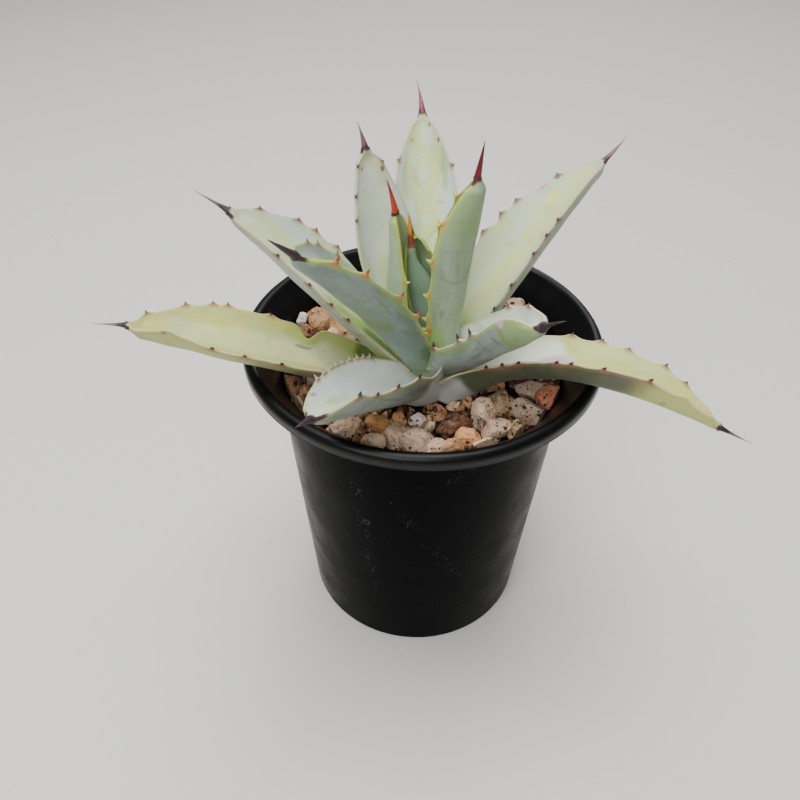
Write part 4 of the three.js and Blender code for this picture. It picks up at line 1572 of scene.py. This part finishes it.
        left=Teeth((0.53, 0.66, 0.7625, 0.86), 1.6, 0.7, Horn.TOOTH_DARK),
        right=Teeth((0.36, 0.4, 0.44, 0.49, 0.54, 0.58, 0.62, 0.68, 0.74), 1.4, 0.45, Horn.TOOTH_PALE),
        slot=Slot.LEAF_GROWN, horn=Horn.PURPLE,
        finish=skin_like(
            # The dark back is painted shade on the underside.
            GROWN_SKIN, face="#dbe3d8", heart="#d3dcb4", cool="#d6dfe4", back="#616e5e", back_cool=0.15,
            root="#ccd6cc", root_reach=0.1, soiled="#465246", decurrent=2.6, seat="#8a6450", smudge=0.7,
            margin="#b9b48c", hem="#8f9c4c",
        ),
        shape=SpineShape.STOUT, spine_half=(1.5, 1.15),
        waves=(
            Wave(1, 0.1, 16, 6.0, 1.0), Wave(1, 0.86, 5, 2.3), Wave(1, 0.66, 4, 0.5), Wave(1, 0.5, 8, 2.6),
            Wave(1, 0.7625, 3, -0.5),
        ),
        marks=(
            Mark(MarkKind.WHITE, 8, 14, 9, 12, 0.8, False),
            # painted light on the face, where the leaves above shade it
            Mark(MarkKind.WHITE, 2, 30, 11, 24, 0.7),
            Mark(MarkKind.FRESH, -2.9, 53.8, 1.6, 6, 0.3),
            Mark(MarkKind.BLUSH, 9.0, 66, 3, 5, 0.5),
            Mark(MarkKind.SPOT, -7.5, 60, 0.6, 1.4, 0.6),
        ),
    ),
    LeafForm(
        name="left_low", azimuth=198, rise=(17, 21, 8), turn=-12, length=90, width=26.5, fold=(100, 95),
        roll=(-9, 7), seat=(9, 110), body=4, neck=0.55, widest=0.65, spine=9,
        left=Teeth((0.5, 0.62, 0.72), 1.1, 0.4, Horn.TOOTH_DARK),
        right=Teeth((0.53, 0.68, 0.73, 0.82, 0.94), 0.8, 0.9, Horn.TOOTH_DARK),
        slot=Slot.LEAF_OLD, horn=Horn.GREY, finish=OLD_SKIN, shape=SpineShape.NEEDLE, kink=(0.5, -0.3),
        lift=2.0, waves=(
            Wave(-1, 0.27, 10, 1.4), Wave(-1, 0.385, 2.8, -3.6), Wave(1, 0.86, 9, 0.0, 2.2),
            Wave(1, 0.855, 2.2, 0.7, 0.5),
        ),
        marks=(
            # painted shadow in a dent of the skin
            Mark(MarkKind.SHADE, -4.9, 36.0, 0.8, 2.9, 1.0, True, 0.25),
            Mark(MarkKind.RUBBED, -6, 24, 9, 10, 0.55),
            Mark(MarkKind.DEEP, -6.0, 15.0, 4, 3.6, 0.9),
            Mark(MarkKind.FRESH, -8.5, 36, 3.5, 6, 0.4),
            Mark(MarkKind.WHITE, -1, 48, 5.5, 32, 0.22, True, 0.9),
            Mark(MarkKind.YELLOW, 10, 74, 9, 20, 0.45, False, 0.3),
            Mark(MarkKind.RUBBED, -4, 81, 9, 9, 0.25),
            Mark(MarkKind.SPOT, 8.7, 78, 0.6, 0.7, 0.7, False),
            Mark(MarkKind.BLUSH, 10.5, 77, 1.6, 2.4, 0.8),
            Mark(MarkKind.FRESH, 2, 60, 7, 20, 0.25),
        ),
    ),
    LeafForm(
        name="right_low", azimuth=-20, rise=(57, 3, -20), turn=3, length=92, width=25.5, fold=(95, 105),
        roll=(-2, -23), seat=(7, 105), body=4, neck=0.85, widest=0.55, spine=11, heel=1.6,
        left=Teeth((0.45, 0.55, 0.64, 0.77, 0.85), 0.8, 1.1, Horn.TOOTH_DARK),
        right=Teeth((0.24, 0.29, 0.34, 0.45, 0.49, 0.58, 0.71), 1.1, 0.5, Horn.TOOTH_DARK),
        slot=Slot.LEAF_OLD, horn=Horn.GREY,
        finish=skin_like(
            OLD_SKIN, face="#b2bb6c", heart="#bfc066", cool="#b9c68e", cool_share=0.45,
            back="#8d9152", smudge=0.3, root="#b9c4a4", root_reach=0.3,
        ),
        shape=SpineShape.NEEDLE, spine_half=(1.6, 1.25), kink=(0.4, 0.3), lift=0.0, waves=(
            Wave(-1, 0.7, 9, 0.0, 1.3), Wave(-1, 0.825, 2.2, 0.8, 0.4), Wave(-1, 0.52, 22, 0.0, 1.3),
            Wave(-1, 0.08, 12, 3.0), Wave(1, 0.77, 7, 1.2),
        ),
        marks=(
            # painted shade on the underside towards the root
            Mark(MarkKind.SHADE, -8, 32, 14, 34, 0.95, False, 0.3),
            Mark(MarkKind.WHITE, -8, 6, 8, 6, 0.5, False, 0.3),
            Mark(MarkKind.FRESH, -2, 74, 3.5, 22, 0.4, False),
            # painted shadow in a small dent
            Mark(MarkKind.SHADE, -7.5, 64.5, 1.1, 0.3, 0.6, False, 0.2),
            # painted light where the underside turns up towards the tip
            Mark(MarkKind.YELLOW, -7, 80, 9, 15, 0.6, False, 0.3),
            Mark(MarkKind.WHITE, 4, 24, 12, 16, 0.65, True, 0.9),
            Mark(MarkKind.BLUSH, 1.5, 39.5, 3.0, 6.0, 0.9),
            Mark(MarkKind.RING, -5.4, 71.8, 0.7, 0.6, 0.9, False, 0.15),
        ),
    ),
)


@dataclass(frozen=True)
class Section:
    """The crescent section of a blade at one place on its line."""

    centre: Vector
    tangent: Vector
    side: Vector
    up: Vector
    width: float
    fold: float
    body: float
    margin: float

    def point(self, across: float, depth: float) -> Vector:
        """Returns a point of the section.

        Args:
            across: From -1 at the right margin to 1 at the left one.
            depth: 0 on the upper face, 1 on the underside.

        Returns:
            The point.
        """
        angle = across * self.fold / 2
        radius = self.width / self.fold
        outward = self.side * math.sin(angle) - self.up * math.cos(angle)
        thickness = self.margin + self.body * max(1 - across * across, 0)
        return (
            self.centre + self.side * (radius * math.sin(angle)) + self.up * (radius * (1 - math.cos(angle)))
            + outward * (depth * thickness)
        )


@dataclass(frozen=True)
class Leaf:
    """One leaf: a channelled blade with toothed, wavy margins and a hard terminal spine."""

    form: LeafForm
    plant: Vector
    margin: float = 1.0
    tip_body: float = 1.3
    tip_width: float = 0.14
    walk: int = 60
    around: int = 60
    along: int = 200
    crispness: float = 3.6  # how tightly the section turns round its margins
    swell_reach: float = 2.0
    sunk: float = 1.4  # how far a spine's root goes into the blade

    HEEL = (0.04, 0.4)  # from where to where the heel runs out, as shares of the length
    SWELL_FLOOR = 0.18  # how far the margin draws in between two teeth
    SWELL_SPAN, LIFT_SPAN, SEAT_SPAN = (0.72, 1), (0.3, 1), (0.7, 0.98)  # shares of the way to a margin
    END_FADE = 0.08  # the share of the length, at its end, without swellings
    RIPPLE_SIZE, RIPPLE_HIGH = (14, 11), 0.4  # across and along, and how high
    RIPPLE_ROOT, RIPPLE_END = (0.1, 0.3), (0, 0.2)
    CLOSED = 0.998  # the share of the length where the blade has become its spine's root

    TOOTH_SEAT = 0.7  # how far out on its swelling a tooth stands
    TOOTH_AIM_FROM = 0.8  # the place across the blade that a tooth points away from
    TOOTH_LEAN, TOOTH_HOOK = 0.25, 0.35  # towards the tip
    TOOTH_SUNK, TOOTH_THICK = 0.7, 0.45
    TOOTH_HALF, TOOTH_SPREAD = 0.5, 0.27  # half the root's width: of any tooth, and more for its height
    TOOTH_TAPER, TOOTH_FLARE, TOOTH_FLARED = 0.85, 0.5, 0.35
    TOOTH_SIDES, TOOTH_STEPS = 10, 8

    SPINE_SIDES, SPINE_STEPS = 20, 40
    SPINE_FIT = 0.97  # how closely a spine fills the blade's round end
    YOUNG_SPINES = ("spear", "heart_back", "heart_left", "heart_right")

    def slope(self, share: float) -> float:
        """Returns the slope at a share of the length, in radians."""
        root, middle, tip = self.form.rise
        return math.radians(
            root * (1 - share) * (1 - 2 * share) + 4 * middle * share * (1 - share)
            + tip * share * (2 * share - 1)
        )

    def heading(self, share: float) -> float:
        """Returns the direction seen from above, in radians."""
        return math.radians(self.form.azimuth + self.form.turn * share)

    def tangent(self, share: float) -> Vector:
        """Returns the direction of growth."""
        slope, heading = self.slope(share), self.heading(share)
        flat = math.cos(slope)
        return Vector((flat * math.cos(heading), flat * math.sin(heading), math.sin(slope)))

    def line(self) -> list[Vector]:
        """Returns points along the leaf's own line."""
        out, height = self.form.seat
        start = self.heading(0)
        point = self.plant + Vector((out * math.cos(start), out * math.sin(start), height))
        points = [point.copy()]
        for step in range(self.walk):
            point = point + self.tangent((step + 0.5) / self.walk) * (self.form.length / self.walk)
            points.append(point)
        return points

    def width(self, share: float) -> float:
        """Returns the flat width: a neck, a wide middle and a long pointed end."""
        widest = self.form.widest
        if share < widest:
            part = lerp(self.form.neck, 1, smoothstep(share, 0, widest))
        else:
            part = 1 - (1 - self.tip_width) * ((share - widest) / (1 - widest)) ** self.form.taper
        return self.form.width * part

    def section(self, line: list[Vector], share: float) -> Section:
        """Returns the section at a share of the length."""
        place = share * self.walk
        low = min(int(place), self.walk - 1)
        tangent, heading = self.tangent(share), self.heading(share)
        level = Vector((-math.sin(heading), math.cos(heading), 0))
        side = Matrix.Rotation(math.radians(lerp(*self.form.roll, share)), 3, tangent) @ level
        heel = self.form.heel * (1 - smoothstep(share, *self.HEEL))
        body = lerp(self.form.body, self.tip_body, share) + heel
        return Section(
            line[low].lerp(line[low + 1], place - low), tangent, side, tangent.cross(side),
            self.width(share), math.radians(lerp(*self.form.fold, share)), body, self.margin,
        )

    def spine_seat(self, end: Section) -> Vector:
        """Returns where the spine's own line crosses the blade's last section."""
        return end.point(0, 0.5) + end.up * self.form.lift

    def row(self, margin: int) -> Teeth:
        """Returns the teeth of a margin: 1 is the left one."""
        return self.form.left if margin > 0 else self.form.right

    def closeness(self, share: float, margin: int) -> float:
        """Returns how close a place on a margin is to the nearest tooth: 1 at it."""
        gaps = [(share - at) * self.form.length for at in self.row(margin).places]
        return max((math.exp(-((gap / self.swell_reach) ** 2)) for gap in gaps), default=0.0)

    def stray(self, share: float, margin: int) -> tuple[float, float]:
        """Returns how far the uneven stretches of a margin lead it outwards and upwards."""
        out, lift = 0.0, 0.0
        for wave in self.form.waves:
            if wave.margin == margin:
                full = math.exp(-(((share - wave.share) * self.form.length / wave.reach) ** 2))
                out += wave.out * full
                lift += wave.lift * full
        return out, lift

    def tube(self, bm: Shape, around: int, along: int) -> Iterator[tuple[Vert, float, float]]:
        """Adds a closed tube, ready to be bent.

        Args:
            bm: The shape it is added to.
            around: Sides of its section.
            along: Steps of its length.

        Yields:
            Each vertex, the share of the length it lies at, and its turn round the section.
        """
        for vert in bmesh.ops.create_uvsphere(bm, u_segments=around, v_segments=along, radius=1)["verts"]:
            yield vert, math.acos(min(max(-vert.co.z, -1.0), 1.0)) / math.pi, math.atan2(vert.co.y, vert.co.x)

    def ripple(self, across: float, share: float) -> float:
        """Returns how far the skin is raised at a place, which fades out towards both ends."""
        wide, long = self.RIPPLE_SIZE
        high = noise.noise(Vector((across / wide, share * self.form.length / long, self.form.azimuth)))
        fade = smoothstep(share, *self.RIPPLE_ROOT) * smoothstep(1 - share, *self.RIPPLE_END)
        return high * self.RIPPLE_HIGH * fade

    def bend_blade(self, bm: Shape) -> None:
        """Bends a tube into the blade and notes on it where each point of the skin lies."""
        skin = bm.verts.layers.float_vector["skin"]
        edge, tip, tooth = (bm.verts.layers.float[name] for name in ("edge", "tip", "tooth"))
        line = self.line()
        rings: dict[int, tuple[Section, dict[int, float], dict[int, tuple[float, float]]]] = {}
        length, bite = self.form.length, math.tanh(self.crispness)
        end = self.section(line, 1)
        seat = self.spine_seat(end)
        wide_end, high_end = self.form.spine_half
        for vert, share, turn in self.tube(bm, self.around, self.along):
            key = round(share * self.along)
            if key not in rings:
                close = {margin: self.closeness(share, margin) for margin in (1, -1)}
                stray = {margin: self.stray(share, margin) for margin in (1, -1)}
                rings[key] = (self.section(line, share), close, stray)
            section, close, stray = rings[key]
            pole = key in (0, self.along)
            across, high = (0.0, 0.0) if pole else (math.cos(turn), math.sin(turn))
            margin = 1 if across > 0 else -1
            fade = smoothstep(1 - share, 0, self.END_FADE)
            grow = self.row(margin).swell * (close[margin] - self.SWELL_FLOOR) * fade
            grow *= smoothstep(abs(across), *self.SWELL_SPAN)
            out, lift = stray[margin]
            wide = across * (1 + 2 * (grow + out * abs(across)) / section.width)
            depth = 0.5 - 0.5 * math.tanh(self.crispness * high) / bite
            point = section.point(wide, depth) + section.up * lift * smoothstep(abs(across), *self.LIFT_SPAN)
            point += section.up * self.ripple(across * section.width, share)
            round_end = seat + (
                end.side * across * wide_end + end.up * high * high_end - end.tangent * (1 - share) * length
            )
            vert.co = point.lerp(round_end, smoothstep(share, self.form.closes, self.CLOSED))
            vert[skin] = (across * section.width / 2, share * length, high)
            vert[edge] = (1 - abs(across)) * section.width / 2
            vert[tip] = (1 - share) * length
            vert[tooth] = close[margin] * smoothstep(abs(across), *self.SEAT_SPAN)

    def add_tooth(self, bm: Shape, line: list[Vector], share: float, margin: int) -> None:
        """Adds one hooked, flattened tooth, its root sunk in the margin's swelling."""
        horn = bm.verts.layers.float["horn"]
        section, row = self.section(line, share), self.row(margin)
        stray, lift = self.stray(share, margin)
        reach, inner = 1 + 2 * (self.TOOTH_SEAT * row.swell + stray) / section.width, self.TOOTH_AIM_FROM
        seat = section.point(margin * reach, 0.5) + section.up * lift
        out = (seat - section.point(margin * inner, 0.5) - section.up * lift * inner).normalized()
        through = (section.point(margin, 1) - section.point(margin, 0)).normalized()
        aim = (out + section.tangent * self.TOOTH_LEAN).normalized()
        base = aim.cross(through).normalized()
        sunk, half = self.TOOTH_SUNK, self.TOOTH_HALF + self.TOOTH_SPREAD * row.height
        for vert, high, turn in self.tube(bm, self.TOOTH_SIDES, self.TOOTH_STEPS):
            flare = self.TOOTH_FLARE * max(self.TOOTH_FLARED - high, 0)
            thin = 0.0 if high in (0.0, 1.0) else (1 - high) ** self.TOOTH_TAPER + flare
            hook = section.tangent * (self.TOOTH_HOOK * row.height * high * high)
            vert[horn] = high
            vert.co = (
                seat + aim * (high * (row.height + sunk) - sunk) + base * (math.cos(turn) * half * thin)
                + through * (math.sin(turn) * self.TOOTH_THICK * thin) + hook
            )
            for face in vert.link_faces:
                face.material_index = 1 if margin > 0 else 2

    def build_blade(self, horns: dict[Horn, Material]) -> Piece:
        """Returns the blade with its teeth."""
        bm = bmesh.new()
        bm.verts.layers.float_vector.new("skin")
        for name in ("edge", "tip", "tooth", "horn"):
            bm.verts.layers.float.new(name)
        line = self.line()
        for margin in (1, -1):
            for share in self.row(margin).places:
                self.add_tooth(bm, line, share, margin)
        self.bend_blade(bm)
        bmesh.ops.recalc_face_normals(bm, faces=bm.faces)
        form = self.form
        finish = form.finish.build(f"skin_{form.name}", form.length, form.width, form.marks)
        blade = make_piece(bm, f"blade_{form.name}", [finish, horns[form.left.horn], horns[form.right.horn]])
        return hand_over(blade, form.slot, f"leaf_{form.name}")

    def build_spine(self, material: Material) -> Piece:
        """Returns the terminal spine, which carries on from the blade's end."""
        bm = bmesh.new()
        bm.verts.layers.float.new("horn")
        horn = bm.verts.layers.float["horn"]
        end = self.section(self.line(), 1)
        root = self.spine_seat(end)
        left, up = self.form.kink
        power, needle = self.form.shape.value
        half_wide, half_high = self.form.spine_half
        for vert, share, turn in self.tube(bm, self.SPINE_SIDES, self.SPINE_STEPS):
            thin = self.SPINE_FIT * lerp((1 - share) ** power, math.sqrt(1 - share), needle) if share else 0.0
            aside = math.cos(turn) * half_wide * thin + left * share * share
            raised = math.sin(turn) * half_high * thin + up * share * share
            ahead = share * (self.form.spine + self.sunk) - self.sunk
            vert[horn] = share
            vert.co = root + end.tangent * ahead + end.side * aside + end.up * raised
        bmesh.ops.recalc_face_normals(bm, faces=bm.faces)
        slot = Slot.SPINE_YOUNG if self.form.name in self.YOUNG_SPINES else Slot.SPINE_OLD
        spine = make_piece(bm, f"point_{self.form.name}", [material])
        return hand_over(spine, slot, f"spine_{self.form.name}")


@dataclass
class Agave:
    """The rosette: a short stem, and the leaves with their spines."""

    x: float = 4
    y: float = -8
    foot: float = 84
    waist: float = 104
    shoulder: float = 110
    crown: float = 122
    foot_radius: float = 3.2
    radius: float = 6.5
    shoulder_radius: float = 5.8
    top_radius: float = 2.4
    ridge: float = 0.25  # height of a leaf scar
    ridge_turn: float = 2.4  # radians of its wave in a millimetre
    sides: int = 48

    def build_stem(self) -> None:
        """Builds the stem with the ridges that fallen leaves left."""
        corners = [
            (self.foot_radius, self.foot), (self.radius, self.waist), (self.shoulder_radius, self.shoulder),
            (self.top_radius, self.crown),
        ]
        profile: Profile = [(0, self.foot)]
        for (low_radius, low), (high_radius, high) in zip(corners, corners[1:]):
            steps = math.ceil(high - low)
            for step in range(steps):
                height = lerp(low, high, step / steps)
                ridge = self.ridge * math.sin(height * self.ridge_turn)
                profile.append((lerp(low_radius, high_radius, step / steps) + ridge, height))
        profile += [(self.top_radius, self.crown), (0, self.crown)]
        bm = spin_profile(profile, self.sides, self.x, self.y)
        hand_over(make_piece(bm, "scarred_stem", [StemFinish().build()]), Slot.STEM, "stem")

    def build(self) -> list[BVHTree]:
        """Builds the stem and the leaves.

        Returns:
            Search trees of the leaves, for what has to lie clear of them.
        """
        self.build_stem()
        horns = {horn: horn.value.build(f"horn_{horn.name.lower()}") for horn in Horn}
        trees = []
        for form in LEAF_FORMS:
            leaf = Leaf(form, Vector((self.x, self.y, 0)))
            blade = leaf.build_blade(horns)
            leaf.build_spine(horns[form.horn])
            mesh = blade.data
            trees.append(BVHTree.FromPolygons(
                [vert.co for vert in mesh.vertices], [face.vertices for face in mesh.polygons],
            ))
        return trees


# ---- stage ----
@dataclass
class Studio:
    """A plain pale floor, soft light from above and the camera at the photograph's angle."""

    location: Triple = (0.0, -0.20917, 0.27390)
    pitch: float = 41.507  # below the horizon
    yaw: float = 2.020
    roll: float = 0.937
    lens: float = 34.84
    sensor: float = 36
    floor_size: float = 6
    floor_colour: Colour = paint("#d9d7d2")
    sky: Colour = paint("#e6e6e6")
    sky_strength: float = 0.34
    floor_stain: Colour = paint("#c9c7c2")
    near: float = 0.01
    far: float = 20

    WASH = 0.4  # how far apart the floor's stains lie
    # Each light: its name, where it hangs, the length of its sides and its power in watts.
    LIGHTS = (
        ("softbox_above", (-0.1, 0.08, 1.0), 0.7, 12),
        ("softbox_front", (-0.25, -0.75, 0.85), 0.7, 9),
        ("softbox_behind", (0.2, 1.1, 0.9), 0.7, 5),
    )

    def build_camera(self) -> None:
        """Places the camera."""
        data = bpy.data.cameras.new("photo_camera")
        data.lens, data.sensor_width, data.sensor_fit = self.lens, self.sensor, "HORIZONTAL"
        data.clip_start, data.clip_end = self.near, self.far
        camera = bpy.data.objects.new("photo_camera", data)
        camera.matrix_world = (
            Matrix.Translation(self.location)
            @ Matrix.Rotation(math.radians(self.yaw), 4, "Z")
            @ Matrix.Rotation(math.radians(90 - self.pitch), 4, "X")
            @ Matrix.Rotation(math.radians(self.roll), 4, "Z")
        )
        bpy.context.scene.collection.objects.link(camera)
        bpy.context.scene.camera = camera

    def build_floor(self) -> None:
        """Lays the floor."""
        bm = bmesh.new()
        bmesh.ops.create_grid(bm, x_segments=1, y_segments=1, size=self.floor_size / 2 / METRES)
        graph = Graph("studio_floor")
        wash = graph.noise(graph.place(), self.WASH, 3)
        colour = graph.mix(graph.span(wash, 0.3, 0.7, 0, 0.12), self.floor_colour, self.floor_stain)
        graph.feed(graph.shader, Base_Color=colour, Roughness=0.85)
        floor = make_piece(bm, "studio_floor", [graph.material])

    def add_light(
        self, name: str, place: Triple, size: float, watts: float,
        target: Triple = (0, 0, 0.12),
    ) -> None:
        """Adds one square soft light.

        Args:
            name: The name of the light.
            place: Where it hangs.
            size: The length of its sides.
            watts: Its power.
            target: What it points at.
        """
        data = bpy.data.lights.new(name, "AREA")
        data.shape, data.size, data.energy = "SQUARE", size, watts
        light = bpy.data.objects.new(name, data)
        light.location = place
        light.rotation_euler = (Vector(target) - Vector(place)).to_track_quat("-Z", "Y").to_euler()
        bpy.context.scene.collection.objects.link(light)

    def build(self) -> None:
        """Sets up the whole stage."""
        world = bpy.data.worlds.new("studio")
        world.use_nodes = True
        background = world.node_tree.nodes["Background"]
        background.inputs["Color"].default_value = self.sky
        background.inputs["Strength"].default_value = self.sky_strength
        bpy.context.scene.world = world
        self.build_camera()
        self.build_floor()
        for light in self.LIGHTS:
            self.add_light(*light)


def main() -> None:
    """Builds the stage and the potted agave."""
    logging.basicConfig(level=logging.INFO, format="%(name)s: %(message)s")
    Studio().build()
    pot = Pot()
    pot.build()
    GrowingMix().build()
    leaves = Agave().build()
    Gravel(pot).build(leaves)


if __name__ == "__main__":
    main()
